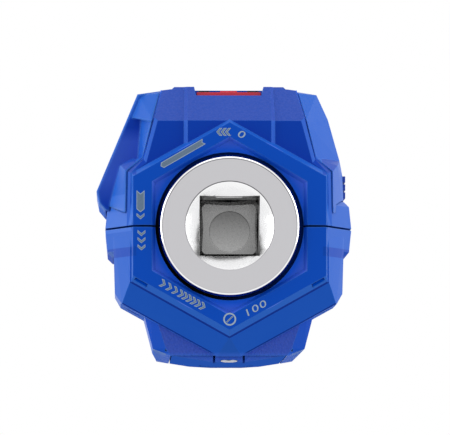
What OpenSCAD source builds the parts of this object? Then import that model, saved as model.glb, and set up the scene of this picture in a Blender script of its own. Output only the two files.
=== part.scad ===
// Digital torque adapter: a gauged drive shaft inside a faceted plastic housing.
// X runs to the right, Y back along the drive axis and Z up. The origin is the centre
// of the socket's front face. All lengths are in millimetres.

/* [Drive shaft] */
// Width of the square tang
square_w = 12.7; // [12.4:0.05:12.9]
// How much wider the square socket is than the tang
socket_play = 0.2; // [0.1:0.05:0.3]
// Depth of the square socket
socket_depth = 20; // [18:0.25:21]
// Diameter of the socket's countersunk mouth
mouth_d = 19; // [18.8:0.1:20]
// Diameter of the round head around the socket
head_d = 30.5; // [29.5:0.1:30.8]
// Length of the round head
head_len = 24; // [23:0.25:25]
// Width of the polished edge round the head's front face
head_round = 0.8; // [0.5:0.1:1.2]
// Length of the polished edge along the head
head_edge = 1.6; // [1:0.1:2]
// Diameter of the slim length that carries the strain gauges
gauge_d = 16; // [14:0.5:17]
// Width across the flats of the flange that keys the shaft into the housing
key_flange_w = 23; // [22:0.25:24]
// Thickness of the keyed flange
key_flange_len = 6; // [5:0.25:7]
// Diameter of the neck that leaves the housing
neck_d = 19; // [18.6:0.1:20]
// Length of the square tang
tang_len = 16; // [14:0.5:18]
// Diameter of the detent ball
ball_d = 5; // [4.6:0.1:5.2]
// How far the detent ball stands out of the tang
ball_proud = 1.2; // [0.8:0.1:1.5]

/* [Housing] */
// How far the head stands out of the housing's front face
head_proud = 1.2; // [0.8:0.1:1.6]
// Length of the housing
house_len = 61.8; // [61.2:0.1:63]
// Wall thickness of the mouldings
wall = 1.8; // [1.5:0.1:2.1]
// Gap between the upper and lower shells
split_gap = 0.4; // [0.3:0.05:0.6]
// Gap along the groove between a cheek and the upper shell
seam_gap = 0.25; // [0.2:0.05:0.35]
// Width of the hexagonal front face
hex_w = 41.5; // [41:0.1:42.6]
// Height of the hexagon's upright sides
hex_side_h = 21.3; // [20.6:0.1:22.2]
// Slope of the hexagon's upper and lower edges, in degrees
hex_slope = 29.3; // [28.3:0.1:30.3]
// Depth of the hexagonal boss in front of the face behind it
boss_h = 2.4; // [2:0.1:2.8]
// Width of the housing over the belt
belt_w = 53.4; // [52.6:0.1:54.4]
// Height of the belt
belt_h = 9.8; // [9.2:0.1:10.4]
// Width of the centre body at the split
core_w = 44.2; // [43.6:0.1:44.8]
// Width of the centre body at the deck
deck_w = 29; // [28.4:0.1:29.8]
// Height of the deck above the drive axis
deck_h = 29.9; // [29.4:0.1:30.6]
// Height at which the sloping brow starts
brow_h = 22.8; // [22.2:0.1:23.4]
// Reach of the left cheek beyond the side of the centre body
wing_out = 6.5; // [5.8:0.1:7.2]
// Width of the shield below the belt
shield_w = 50; // [49.2:0.1:50.8]

/* [Display and keys] */
// Width of the raised display pad
pad_w = 25.2; // [24.6:0.1:26]
// Height of the pad above the deck
pad_rise = 0.8; // [0.6:0.05:1]
// Width of the display window
window_w = 20.8; // [20:0.1:21.4]
// Length of the display window
window_len = 15.6; // [15:0.1:16.2]
// Width of the tray that the keys stand in
tray_w = 14.2; // [13.8:0.1:14.6]
// Travel of a key
key_travel = 0.5; // [0.3:0.05:0.5]

/* [Batteries] */
// Diameter of a battery cell
cell_d = 10.5; // [10.1:0.1:10.6]
// Length of a battery cell
cell_len = 44.5; // [44:0.1:44.8]
// Thickness of the battery door
door_thick = 1.5; // [1.3:0.1:1.8]

/* [Hidden] */
$fn = 72;
// Run of every cut past the surface that it breaks
over = 0.5;
// Thickness of the flat land at the end of a tapered form
land = 0.3;
// Gap between pieces that rest against each other
rest_gap = 0.05;
// Clearance between rigid pieces that only pass each other
fit = 0.15;
// Clearance of the sliding door in its guides
slide_fit = 0.25;

// Stations along the drive axis
flank_run = 12.4;
tail_len = 16;
face_y = head_proud;
base_y = face_y + boss_h;
wide_y = base_y + flank_run;
end_y = face_y + house_len;
tail_y = end_y - tail_len;

// A list of half-outline points with their mirror images, for a closed outline
function both(half) = concat(half, [for (i = [len(half) - 1:-1:0]) [-half[i][0], half[i][1]]]);
// An outline drawn in by a share of its width and a share of its height
function shrink(points, x_share, z_share) = [for (p = points) [x_share * p[0], z_share * p[1]]];
// An outline drawn in towards the drive axis, as at the tail
tail_share = 0.885;
function taper(points) = shrink(points, tail_share, tail_share);
// A prism of a front-view outline between two stations along the drive axis
module prism(y0, y1) {
    translate([0, y1, 0]) rotate([90, 0, 0]) linear_extrude(y1 - y0) children();
}
// The same, one land thick, as one station of a lofted form
module slice(y, points) {
    prism(y, y + land) polygon(points);
}
// A round bar along the drive axis
module bar(r, y0, y1) {
    translate([0, y1, 0]) rotate([90, 0, 0]) cylinder(r = r, h = y1 - y0);
}
// A solid turned about the drive axis, from radius against distance along it
module turned(profile) {
    rotate([-90, 0, 0]) rotate_extrude() polygon(profile);
}
// Both sides of a piece drawn on the right
module mirrored() {
    children();
    mirror([1, 0, 0]) children();
}

// Torque shaft: head with square socket, gauged length, keyed flange, neck and tang
head_r = head_d / 2;
gauge_r = gauge_d / 2;
flange_r = key_flange_w / 2 / cos(30);
neck_r = neck_d / 2;
socket_w = square_w + socket_play;
mouth_r = mouth_d / 2;
mouth_depth = 3.6;
floor_chamfer = 0.55;
pilot_share = 0.72;
pilot_r = pilot_share * socket_w / 2;
pilot_depth = 1.3;
groove_r = 2.3;
groove_len = 5.6;
groove_y = 6;
groove_cut = 1.1;
head_taper = 2;
flange_back = 9;
flange_y = end_y - flange_back;
neck_out = 1;
shoulder_y = end_y + neck_out;
tip_chamfer = 1.1;
tip_y = shoulder_y + tang_len;
ball_r = ball_d / 2;
ball_share = 0.52;
ball_y = shoulder_y + ball_share * tang_len;
ball_z = square_w / 2 + ball_proud - ball_r;
well_depth = 6.2;
well_r = ball_r + rest_gap;
corner_cut = 0.9;
round_steps = 6;
blank = concat(
    [[0, 0]],
    [for (i = [0:round_steps]) [
        head_r - head_round + head_round * sin(90 * i / round_steps),
        head_edge - head_edge * cos(90 * i / round_steps)
    ]],
    [
        [head_r, head_len], [gauge_r + head_taper, head_len + head_taper],
        [gauge_r, head_len + 2 * head_taper], [gauge_r, flange_y - head_taper],
        [neck_r, flange_y], [neck_r, shoulder_y - corner_cut],
        [neck_r - corner_cut, shoulder_y], [0, shoulder_y]
    ]
);
// Plan of the square hole, with its chamfered floor
hole_points = both([
    [socket_w / 2, -over], [socket_w / 2, socket_depth - floor_chamfer],
    [socket_w / 2 - floor_chamfer, socket_depth]
]);
module square_socket() {
    intersection() {
        linear_extrude(socket_w, center = true) polygon(hole_points);
        rotate([0, 90, 0]) linear_extrude(socket_w, center = true) polygon(hole_points);
    }
    turned([
        [0, -over], [mouth_r + over, -over], [mouth_r - mouth_depth, mouth_depth],
        [0, mouth_depth]
    ]);
    turned([
        [0, socket_depth - over], [pilot_r, socket_depth - over], [pilot_r, socket_depth],
        [0, socket_depth + pilot_depth]
    ]);
    for (a = [0, 90, 180, 270])
        rotate([0, a, 0])
            translate([-groove_len / 2, groove_y, socket_w / 2 + groove_cut - groove_r])
                rotate([0, 90, 0]) cylinder(r = groove_r, h = groove_len);
}
module tang() {
    tang_r = square_w / sqrt(2) - corner_cut;
    intersection() {
        prism(shoulder_y - over, tip_y) square([square_w, square_w], center = true);
        turned([
            [0, shoulder_y - over], [tang_r, shoulder_y - over],
            [tang_r, tip_y - 2 * tip_chamfer], [square_w / 2 - tip_chamfer, tip_y], [0, tip_y]
        ]);
    }
}
module torque_shaft() {
    color("gainsboro") difference() {
        union() {
            turned(blank);
            prism(flange_y, flange_y + key_flange_len)
                rotate(30) circle(r = flange_r, $fn = 6);
            tang();
        }
        square_socket();
        translate([0, ball_y, ball_z - well_depth])
            cylinder(r = well_r, h = well_depth + square_w);
    }
}
module detent_ball() {
    color("silver") translate([0, ball_y, ball_z]) sphere(r = ball_r);
}
// Detent spring: a wire helix that stands in the well below the ball
spring_wire = 0.5;
spring_turns = 5;
spring_steps = 16;
spring_sides = 6;
spring_r = ball_r - spring_wire;
spring_low = ball_z - well_depth + spring_wire / 2;
spring_reach = ball_r + spring_wire / 2 + rest_gap;
spring_high = ball_z - sqrt(spring_reach * spring_reach - spring_r * spring_r);
// The wire's cross-section at one step of the helix
function helix_ring(i, n) = let (
    a = 360 * spring_turns * i / n,
    z = spring_low + (spring_high - spring_low) * i / n
) [for (k = [0:spring_sides - 1]) let (
    b = 360 * k / spring_sides, r = spring_r + spring_wire / 2 * cos(b)
) [r * cos(a), r * sin(a), z + spring_wire / 2 * sin(b)]];
// One closed tube through a list of rings with the same number of points
module tube(rings) {
    m = len(rings[0]);
    n = len(rings);
    polyhedron(
        points = [for (r = rings) for (p = r) p],
        faces = concat(
            [[for (k = [0:m - 1]) k]],
            [for (i = [0:n - 2]) for (k = [0:m - 1])
                [i * m + k, (i + 1) * m + k, i * m + (k + 1) % m]],
            [for (i = [0:n - 2]) for (k = [0:m - 1])
                [i * m + (k + 1) % m, (i + 1) * m + k, (i + 1) * m + (k + 1) % m]],
            [[for (k = [m - 1:-1:0]) (n - 1) * m + k]]
        )
    );
}
module detent_spring() {
    n = spring_turns * spring_steps;
    color("silver") translate([0, ball_y, 0]) tube([for (i = [0:n]) helix_ring(i, n)]);
}
// Foil gauges bonded to the slim length, one on each side
gauge_y = (head_len + flange_y + head_taper) / 2;
gauge_len = 7;
gauge_span = 6;
gauge_thick = 0.3;
module strain_gauges() {
    color("goldenrod") intersection() {
        difference() {
            bar(gauge_r + gauge_thick, gauge_y - gauge_len / 2, gauge_y + gauge_len / 2);
            bar(gauge_r, gauge_y - gauge_len, gauge_y + gauge_len);
        }
        union() {
            for (a = [0, 90, 180, 270])
                rotate([0, a, 0])
                    translate([-gauge_span / 2, gauge_y - gauge_len / 2, 0])
                        cube([gauge_span, gauge_len, gauge_d]);
        }
    }
}

// Outlines of the housing seen from the front, as half widths and heights
bore_play = 0.65;
bore_r = head_r + bore_play;
edge_cut = 0.7;
core_half = core_w / 2;
deck_half = deck_w / 2;
belt_half = belt_w / 2;
belt_top = belt_h / 2;
function core_x(z) = core_half - (core_half - deck_half) * z / deck_h;

// Hexagonal boss round the drive head: its outline grown at the sides, top and bottom
side_bevel = 0.3;
top_bevel = 0.9;
low_bevel = 1.3;
function hex_points(side, top, low) = let (
    half = hex_w / 2 + side,
    peak = hex_side_h / 2 + hex_w / 2 * tan(hex_slope),
    up = peak + top / cos(hex_slope),
    down = peak + low / cos(hex_slope),
    fall = half * tan(hex_slope)
) [
    [half, up - fall], [0, up], [-half, up - fall],
    [-half, fall - down], [0, -down], [half, fall - down]
];
module hex_form() {
    hull() {
        slice(face_y, hex_points(0, 0, 0));
        slice(base_y, hex_points(side_bevel, top_bevel, low_bevel));
        slice(base_y + boss_h, hex_points(side_bevel, top_bevel, low_bevel));
    }
}
// Hexagonal dish in the boss, just wider than the bore
recess_deep = 1.4;
recess_flare = 0.8;
recess_r = (bore_r + rest_gap) / cos(30);
module hex_recess() {
    translate([0, face_y + recess_deep, 0]) rotate([90, 0, 0]) rotate(30)
        cylinder(r1 = recess_r, r2 = recess_r + recess_flare * (recess_deep + over) / recess_deep,
            h = recess_deep + over, $fn = 6);
}
pad_half = pad_w / 2;
// Deck block, grown by g: leaning sides, upright face and a brow that slopes back
brow_run = 8.3;
pad_top = deck_h + pad_rise;
pad_front = base_y + brow_run;
deck_y = pad_front - brow_run / (pad_top - brow_h) * pad_rise;
function deck_points(h, g) = both([[core_half + g, -g], [core_x(h) + g, h + g]]);
// The same with its top crowned towards the pad
deck_crown = 0.25;
function crown_points(h, g) = both([
    [core_half + g, -g], [core_x(h) + g, h + g], [pad_half, h + g + deck_crown]
]);
module deck_form(g = 0) {
    hull() {
        slice(base_y, deck_points(brow_h + edge_cut, g - edge_cut));
        slice(base_y + edge_cut, deck_points(brow_h + edge_cut, g));
        slice(deck_y, crown_points(deck_h, g));
        slice(tail_y - land, crown_points(deck_h, g));
        slice(end_y - land, taper(crown_points(deck_h, g)));
    }
}
// Centre panel of the face and brow, standing proud of the rest
panel_half = 9;
panel_rise = 0.8;
module panel_form() {
    wide = panel_half + panel_rise;
    hull() {
        slice(base_y - panel_rise, both([[panel_half, 0], [panel_half, brow_h]]));
        slice(base_y, both([[wide, 0], [wide, brow_h]]));
        slice(pad_front - panel_rise, both([[panel_half, 0], [panel_half, pad_top]]));
        slice(pad_front, both([[wide, 0], [wide, pad_top]]));
    }
}
// Shoulders beside the hexagon, up to the groove, grown by g
shoulder_out = 21.9;
shoulder_low_share = 0.395;
shoulder_high_share = 0.488;
shoulder_low = shoulder_low_share * deck_h;
shoulder_high = shoulder_high_share * deck_h;
function shoulder_points(g) = both([
    [core_half + g, -g], [shoulder_out + g, shoulder_low + g / 2],
    [core_x(shoulder_high) + g, shoulder_high + g]
]);
module shoulder_form(g = 0) {
    hull() {
        slice(base_y, shoulder_points(g - edge_cut));
        slice(base_y + edge_cut, shoulder_points(g));
        slice(tail_y - land, shoulder_points(g));
        slice(end_y - land, taper(shoulder_points(g)));
    }
}
// Belt flange on each side of the split, grown by g
belt_front = 1;
belt_lean = 0.5;
belt_chamfer = 1.1;
function belt_points(half, g) = both([
    [half - belt_lean - belt_chamfer + g, -belt_top - belt_chamfer - g],
    [half - belt_lean + g, -belt_top - g / 2], [half + g, 0],
    [half - belt_lean + g, belt_top + g / 2],
    [half - belt_lean - belt_chamfer + g, belt_top + belt_chamfer + g]
]);
module belt_form(g = 0) {
    hull() {
        slice(face_y + belt_front, belt_points(hex_w / 2 + side_bevel, g));
        slice(wide_y, belt_points(belt_half, g));
        slice(tail_y - land, belt_points(belt_half, g));
        slice(end_y - land, taper(belt_points(belt_half, g)));
    }
}
// Raised pad for the display and keys
pad_slope = 0.8;
pad_len = 33;
pad_end = pad_front + pad_len;
pad_points = both([
    [pad_half, deck_h - wall], [pad_half, deck_h], [pad_half - pad_slope, pad_top]
]);
module pad_form() {
    hull() {
        slice(deck_y, both([[pad_half, deck_h - wall], [pad_half, deck_h]]));
        slice(pad_front, pad_points);
        slice(pad_end - 2 * pad_rise, pad_points);
        slice(pad_end, both([
            [pad_half - pad_slope, deck_h - wall], [pad_half - pad_slope, deck_h - fit]
        ]));
    }
}
// Shield below the belt, with a blunt tip
shield_half = shield_w / 2;
shield_side = 14.1;
shield_turn = 2.2;
shield_tip = 27.75;
tip_half = 2.6;
shield_run = 8.6;
shield_near_run = 4.5;
shield_near_in = 1.9;
shield_lean = 0.4;
shield_keep = 22;
shield_share = 0.8;
shield_turn_x = shield_half - shield_lean - shield_turn * tan(hex_slope);
shield_near_x = shield_half - shield_near_in;
shield_near_share = (shield_near_x - tip_half) / (shield_turn_x - tip_half);
shield_points = both([
    [shield_half, 0], [shield_half - shield_lean, -shield_side],
    [shield_turn_x, -shield_side - shield_turn], [tip_half, -shield_tip]
]);
shield_near_points = both([
    [shield_near_x, 0],
    [shield_near_x, shield_near_share * (shield_tip - shield_side - shield_turn) - shield_tip],
    [tip_half, -shield_tip]
]);
module shield_form() {
    hull() {
        slice(base_y, hex_points(2 * side_bevel, 0, low_bevel));
        slice(base_y + shield_near_run, shield_near_points);
        slice(base_y + shield_run, shield_points);
        slice(base_y + shield_run + shield_keep, shield_points);
        slice(end_y - land, shrink(shield_points, tail_share, shield_share));
    }
}
// Round collar on the rear face
collar_r = 14.5;
collar_out = 0.6;
module collar_form() {
    turned([
        [0, end_y - wall], [collar_r, end_y - wall], [collar_r, end_y],
        [collar_r - collar_out, end_y + collar_out], [0, end_y + collar_out]
    ]);
}

// Battery bay: two cells side by side over a sliding door
cell_r = cell_d / 2;
cell_gap = 0.4;
cell_x = cell_r + cell_gap / 2;
bay_web = 1.5;
bay_clear = 0.25;
bay_half = cell_x + cell_r + bay_clear;
cell_lift = bore_r + bay_web + 2 * rest_gap + cell_r;
cell_z = -sqrt(cell_lift * cell_lift - cell_x * cell_x);
bay_lead = 3.1;
bay_front = base_y + shield_run - bay_lead;
bay_y = bay_front + wall;
contact_room = 1.1;
cell_y = bay_y + contact_room;
bay_end = end_y - wall;
door_top = cell_z - cell_r - fit;
door_bottom = door_top - door_thick;
door_edge = 0.1;
door_half = 12.3;
door_flat = 3.5;
door_front = 0.4;
door_y = bay_front + door_front;
upright = 1.1;
lip_drop = 0.1;
lip_low = door_top - lip_drop;
lip = 0.95;
rail_h = 0.85;
rail_out = 1.15;
rail_z = lip_low + lip + slide_fit;
bay_top_half = 18.4;
bay_low_half = 16.4;
bay_sink = 1;
bay_top = shield_side + shield_turn - bay_sink;
bay_mid = 18.3;
bay_low = 26;
bay_turn = 2.4;
bay_step = 0.5;
bay_facet = 1.3;
bay_facet_low = 2.8;
bay_facet_run = 2.6;
bay_keep = 30;
bay_rise = 1.4;
bay_points = both([
    [bay_top_half, -bay_top], [bay_top_half, -bay_mid], [bay_low_half, -bay_low],
    [bay_low_half - bay_turn, lip_low + bay_step], [door_half + slide_fit, lip_low]
]);
module bay_form() {
    hull() {
        slice(bay_front, both([
            [bay_top_half - bay_facet, -bay_top], [bay_low_half - bay_facet_low, -bay_low],
            [door_half + slide_fit, lip_low]
        ]));
        slice(bay_front + bay_facet_run, bay_points);
        slice(bay_front + bay_keep, bay_points);
        slice(end_y - land, both([
            [bay_top_half - bay_facet, -bay_top], [bay_low_half - bay_rise, -bay_low + bay_rise],
            [door_half + rail_out + wall, lip_low + lip / 2], [door_half + slide_fit, lip_low]
        ]));
    }
}
// Edge of the door, or with g of the room that it slides in
function door_points(g) = [
    [door_half + g, rail_z - g], [door_half + rail_out + g, rail_z - g],
    [door_half + rail_out + g, rail_z + rail_h + g],
    [door_half - upright - g, rail_z + rail_h + g], [door_half - upright - g, door_top + g]
];
module door_room() {
    prism(door_y - slide_fit, end_y + over)
        polygon(both(concat([[door_half + slide_fit, lip_low - wall]], door_points(slide_fit))));
}
tongue_half = 3.2;
tongue_len = 7;
slit = 0.5;
pull_half = 1.8;
pull_cut = 0.5;
pull_deep = 1;
ramp_len = 14;
ramp_rise = 0.7;
rib_count = 6;
rib_half = 6;
rib_pitch = 2;
rib_deep = 0.4;
rib_back = 30;
module battery_door() {
    color("royalblue") difference() {
        prism(door_y, end_y) polygon(both(concat(
            [[door_flat, door_bottom], [door_half, door_top - door_edge]], door_points(0)
        )));
        for (x = [-tongue_half, tongue_half])
            translate([x - slit / 2, door_y - over, door_bottom - over])
                cube([slit, tongue_len + over, door_thick + 2 * over]);
        translate([-pull_half, door_y - over, door_bottom - over])
            cube([2 * pull_half, pull_deep + over, pull_cut + over]);
        for (i = [0:rib_count - 1])
            translate([-rib_half, door_y + rib_back + i * rib_pitch, door_bottom - over])
                cube([2 * rib_half, rib_pitch / 2, rib_deep + over]);
        translate([-shield_half, end_y - ramp_len, door_bottom])
            rotate([atan2(ramp_rise, ramp_len), 0, 0]) translate([0, 0, -door_thick])
                cube([shield_w, 2 * ramp_len, door_thick]);
    }
}
nub_r = 1.9;
nub_len = 1.1;
module battery_cells() {
    color("slategray") for (x = [-cell_x, cell_x])
        translate([x, 0, cell_z]) {
            bar(cell_r, cell_y, cell_y + cell_len - nub_len);
            bar(nub_r, cell_y, cell_y + cell_len);
        }
}
// Contact plates: in front one with a side tab for each cell, behind one for both
plate_thick = 0.3;
plate_down = 4;
plate_up = 3.6;
plate_low = cell_z - plate_down;
plate_high = cell_z + plate_up;
plate_in = 1;
tab_len = 3.5;
tab_x = bay_half + 2 * rest_gap;
coil_r = 2.6;
module front_contacts() {
    color("silver") mirrored() translate([0, bay_y + 2 * rest_gap, 0]) {
        translate([plate_in, 0, plate_low])
            cube([bay_half - 2 * rest_gap - plate_in, plate_thick, plate_high - plate_low]);
        translate([bay_half - plate_thick, 0, cell_z])
            cube([tab_x + 2 * plate_thick - bay_half, plate_thick, plate_up]);
        translate([tab_x, 0, cell_z]) cube([plate_thick, tab_len, plate_up]);
    }
}
module rear_contact() {
    color("silver") {
        translate([fit - bay_half, bay_end - rest_gap - plate_thick, plate_low])
            cube([2 * (bay_half - fit), plate_thick, plate_high - plate_low]);
        for (x = [-cell_x, cell_x])
            translate([x, 0, cell_z])
                bar(coil_r, cell_y + cell_len + rest_gap, bay_end - plate_thick);
    }
}

// Cheeks: heights of their folds as shares of the deck's, and reaches beyond the centre body
shoulder_share = 0.5;
fold_share = 0.8;
corner_share = 0.98;
roof_share = 0.99;
shoulder_z = shoulder_share * deck_h;
fold_z = fold_share * deck_h;
corner_z = corner_share * deck_h;
roof_z = roof_share * deck_h;
foot_out = 2.9;
foot_lean = 0.1;
side_out = 2.65;
shoulder_reach = 5.85;
fold_reach = 5.6;
corner_reach = 4.5;
roof_out = 2.8;
flank_out = 0.15;
flank_low_out = 1.4;
flank_deck_out = 1.7;
deck_out = 0.45;
flank_drop = 1.1;
flank_lead = 0.6;
flank_half_run = 5.9;
flank_y = base_y + flank_lead;
flank_mid = base_y + flank_half_run;
cheek_depth = 5;
cheek_in = deck_half - edge_cut;
cheek_mid_in = core_half - cheek_depth;
flank_foot = belt_top - wall;
foot_z = belt_top + belt_chamfer + fit;
roof_points = [[deck_half + roof_out, roof_z], [cheek_in, deck_h + deck_crown]];
cheek_points = concat([
    [cheek_in, shoulder_z - land], [core_x(shoulder_z) + shoulder_reach, shoulder_z],
    [core_x(fold_z) + fold_reach, fold_z], [core_x(corner_z) + corner_reach, corner_z]
], roof_points);
cheek_low_points = [
    [cheek_mid_in, flank_foot], [core_half + foot_out + foot_lean, flank_foot],
    [core_half + foot_out, foot_z], [core_half + side_out, shoulder_low],
    [core_x(shoulder_z) + shoulder_reach, shoulder_z], [cheek_mid_in, shoulder_z]
];
// Front edge of a cheek's upper half, along the groove
upper_front = [
    [cheek_in, shoulder_z - land], [core_x(shoulder_z) + flank_out, shoulder_z - land],
    [core_x(brow_h) + flank_out, brow_h], [cheek_in, brow_h]
];
// First two stations of a cheek's lower half, behind the groove
module flank_low() {
    slice(flank_y, [
        [cheek_mid_in, flank_foot], [core_half + flank_out, flank_foot],
        [core_half + flank_out, shoulder_low], [core_x(shoulder_high) + flank_out, shoulder_high],
        [cheek_mid_in, shoulder_high]
    ]);
    slice(flank_mid, [
        [cheek_mid_in, flank_foot], [core_half + flank_low_out, flank_foot],
        [core_half + flank_low_out, shoulder_high - flank_drop],
        [core_half - flank_drop, shoulder_z], [cheek_mid_in, shoulder_z]
    ]);
}
module inner_cut() {
    deck_form(seam_gap);
    shoulder_form(seam_gap);
    belt_form(seam_gap);
}
module right_outer() {
    hull() {
        slice(flank_y, upper_front);
        slice(deck_y, [
            [cheek_in, shoulder_z - land], [core_x(shoulder_z) + flank_deck_out, shoulder_z],
            [core_x(corner_z) + deck_out, corner_z], [cheek_in, corner_z]
        ]);
        slice(wide_y, cheek_points);
        slice(tail_y - land, cheek_points);
        slice(end_y - land, taper(cheek_points));
    }
    hull() {
        flank_low();
        slice(wide_y, cheek_low_points);
        slice(tail_y - land, cheek_low_points);
        slice(end_y - land, taper(cheek_low_points));
    }
}
// Ribbed grip let into the right cheek
grip_back = 1.5;
grip_y = wide_y + grip_back;
grip_len = 26;
grip_lift = 0.8;
grip_z = foot_z + grip_lift;
grip_h = 5.2;
grip_deep = 1.3;
grip_rib = 0.7;
grip_ribs = 3;
rib_share = 0.75;
grip_x = core_half + side_out;
module right_cheek() {
    color("royalblue") difference() {
        right_outer();
        inner_cut();
        translate([grip_x - grip_deep - fit, grip_y - fit, grip_z - fit])
            cube([grip_deep + wall, grip_len + 2 * fit, grip_h + 2 * fit]);
    }
}
module side_grip() {
    pitch = grip_h / grip_ribs;
    color("midnightblue") {
        translate([grip_x - grip_deep, grip_y, grip_z]) cube([grip_deep, grip_len, grip_h]);
        for (i = [0:grip_ribs - 1])
            translate([grip_x - over, grip_y, grip_z + i * pitch])
                cube([over + grip_rib, grip_len, rib_share * pitch]);
    }
}
// Sounder pod of the left cheek: a wing whose front is scooped away below the top
wing_reach = core_half + wing_out;
wing_tip_share = 0.274;
wing_tip_z = wing_tip_share * deck_h;
wing_low = 4;
wing_under = 1.9;
wing_turn_in = 0.5;
wing_turn = 1.7;
wing_top_out = 5.1;
wing_top_x = core_x(corner_z) + wing_top_out;
wing_lean = atan2(wing_reach - wing_top_x, corner_z - wing_tip_z);
wing_round = 0.25;
wing_foot_in = 2.8;
wing_flank_out = 1.9;
wing_run = 10.4;
wing_y = base_y + wing_run;
scoop_share = 0.82;
scoop_top = scoop_share * deck_h;
scoop_low_out = 1.3;
scoop_out = 3;
scoop_x = core_x(scoop_top) + scoop_out;
function wing_points(in) = [
    [cheek_mid_in, wing_low], [wing_reach - wing_under - in, wing_low + in / 2],
    [wing_reach - wing_turn_in - in, wing_low + wing_turn],
    [wing_reach - in, wing_tip_z], [wing_top_x - in, corner_z - in],
    [deck_half + roof_out, roof_z - in], [cheek_in, deck_h + deck_crown - in],
    [cheek_in, shoulder_z - land]
];
module left_outer() {
    hull() {
        slice(flank_y, upper_front);
        slice(wing_y, [
            [cheek_in, shoulder_z - land], [core_x(shoulder_z) + scoop_low_out, shoulder_z],
            [scoop_x, scoop_top], [cheek_in, scoop_top]
        ]);
    }
    hull() {
        flank_low();
        slice(wing_y, [
            [cheek_mid_in, flank_foot], [wing_reach - wing_foot_in, belt_top],
            [core_half + wing_flank_out, wing_tip_z],
            [core_half + flank_low_out, shoulder_high - flank_drop],
            [core_half - flank_drop, shoulder_z], [cheek_mid_in, shoulder_z]
        ]);
    }
    hull() {
        slice(flank_y, [
            [cheek_in, brow_h - land], [core_x(brow_h) + flank_out, brow_h - land],
            [core_x(brow_h) + flank_out, brow_h], [cheek_in, brow_h]
        ]);
        slice(deck_y, [
            [cheek_in, scoop_top], [scoop_x, scoop_top],
            [core_x(corner_z) + deck_out, corner_z], [cheek_in, corner_z]
        ]);
        slice(wide_y, concat([
            [cheek_in, scoop_top],
            [wing_top_x + (corner_z - scoop_top) * tan(wing_lean), scoop_top],
            [wing_top_x, corner_z]
        ], roof_points));
    }
    hull() {
        slice(wing_y, wing_points(wing_round));
        slice(wing_y + 2 * wing_round, wing_points(0));
        slice(tail_y - land, wing_points(0));
        slice(end_y - land, taper(wing_points(0)));
    }
}
// Frame on the pod's slanted face: its third axis leaves the face squarely
sounder_z = shoulder_z;
sounder_back = 14;
sounder_y = wide_y + sounder_back;
module wing_frame() {
    translate([(sounder_z - wing_tip_z) * tan(wing_lean) - wing_reach, sounder_y, sounder_z])
        rotate([0, wing_lean - 90, 0]) children();
}
buzzer_r = 5.6;
buzzer_thick = 2.6;
sound_room = buzzer_thick + 3 * fit;
sound_half = buzzer_r + 1;
sound_slots = 5;
slot_pitch = 1.8;
slot_half = 3.5;
module sounder_room() {
    wing_frame() translate([-sound_half, -sound_half, -wall - sound_room])
        cube([2 * sound_half, 2 * sound_half, sound_room]);
}
module left_cheek() {
    color("royalblue") difference() {
        mirror([1, 0, 0]) left_outer();
        inner_cut();
        sounder_room();
        wing_frame() for (i = [0:sound_slots - 1])
            translate([-slot_half, (i - (sound_slots - 1) / 2) * slot_pitch - slot_pitch / 4,
                -wall - over])
                cube([2 * slot_half, slot_pitch / 2, wall + 2 * over]);
        wire_hole();
    }
}
module buzzer() {
    color("dimgray") wing_frame() translate([0, 0, -wall - fit - buzzer_thick])
        cylinder(r = buzzer_r, h = buzzer_thick);
}

// Electronics on one board, hung from posts under the deck
cavity_top = deck_h - wall;
board_w = 24.6;
board_len = 34;
board_thick = 1.6;
board_drop = 4.2;
board_top = cavity_top - board_drop;
board_z = board_top - board_thick;
board_back = 10;
board_y = base_y + board_back;
board_gap = 1;
cavity_half = board_w / 2 + board_gap;
cavity_y = board_y - board_gap;
cavity_end = board_y + board_len + board_gap;
post_in = 2.4;
post_r = 2.1;
post_hole = 3.6;
board_screw_r = 0.85;
board_screw_len = 4.6;
board_head_h = 1;
module board_places(z) {
    for (x = [-1, 1], y = [board_y + post_in, board_y + board_len - post_in])
        translate([x * (board_w / 2 - post_in), y, z]) children();
}
module main_board() {
    color("darkgreen") difference() {
        translate([-board_w / 2, board_y, board_z]) cube([board_w, board_len, board_thick]);
        board_places(board_z - over)
            cylinder(r = board_screw_r + fit, h = board_thick + 2 * over);
    }
}
module board_screws() {
    color("dimgray") board_places(board_z - board_head_h - rest_gap) {
        cylinder(r = 2 * board_screw_r, h = board_head_h);
        cylinder(r = board_screw_r, h = board_head_h + board_screw_len);
    }
}
chip_sizes = [[10, 9, 1.4], [5, 6, 1.2], [6, 4, 1.8]];
chip_places = [[-5, 3], [5, 12], [-10, 14]];
module board_chips() {
    color("black") for (i = [0:len(chip_sizes) - 1])
        translate([chip_places[i][0], board_y + chip_places[i][1],
            board_z - chip_sizes[i][2] - rest_gap])
            cube(chip_sizes[i]);
}
// Film ribbon from the gauges up to the board
ribbon_w = 4;
ribbon_thick = 0.3;
ribbon_run = 4;
ribbon_turn = 2;
ribbon_low = gauge_r + gauge_thick + rest_gap;
ribbon_high = board_z - rest_gap;
ribbon_y = gauge_y + gauge_len / 2;
ribbon_back = ribbon_y + ribbon_turn;
module gauge_ribbon() {
    color("darkorange") translate([-ribbon_w / 2, 0, 0])
        rotate([90, 0, 90]) linear_extrude(ribbon_w) polygon([
            [gauge_y, ribbon_low], [ribbon_y, ribbon_low],
            [ribbon_back, ribbon_low + ribbon_turn], [ribbon_back, ribbon_high - ribbon_turn],
            [ribbon_y, ribbon_high], [ribbon_y - ribbon_run, ribbon_high],
            [ribbon_y - ribbon_run, ribbon_high - ribbon_thick],
            [ribbon_y - ribbon_thick, ribbon_high - ribbon_thick],
            [ribbon_back - ribbon_thick, ribbon_high - ribbon_turn],
            [ribbon_back - ribbon_thick, ribbon_low + ribbon_turn],
            [ribbon_y - ribbon_thick, ribbon_low + ribbon_thick],
            [gauge_y, ribbon_low + ribbon_thick]
        ]);
}
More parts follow.
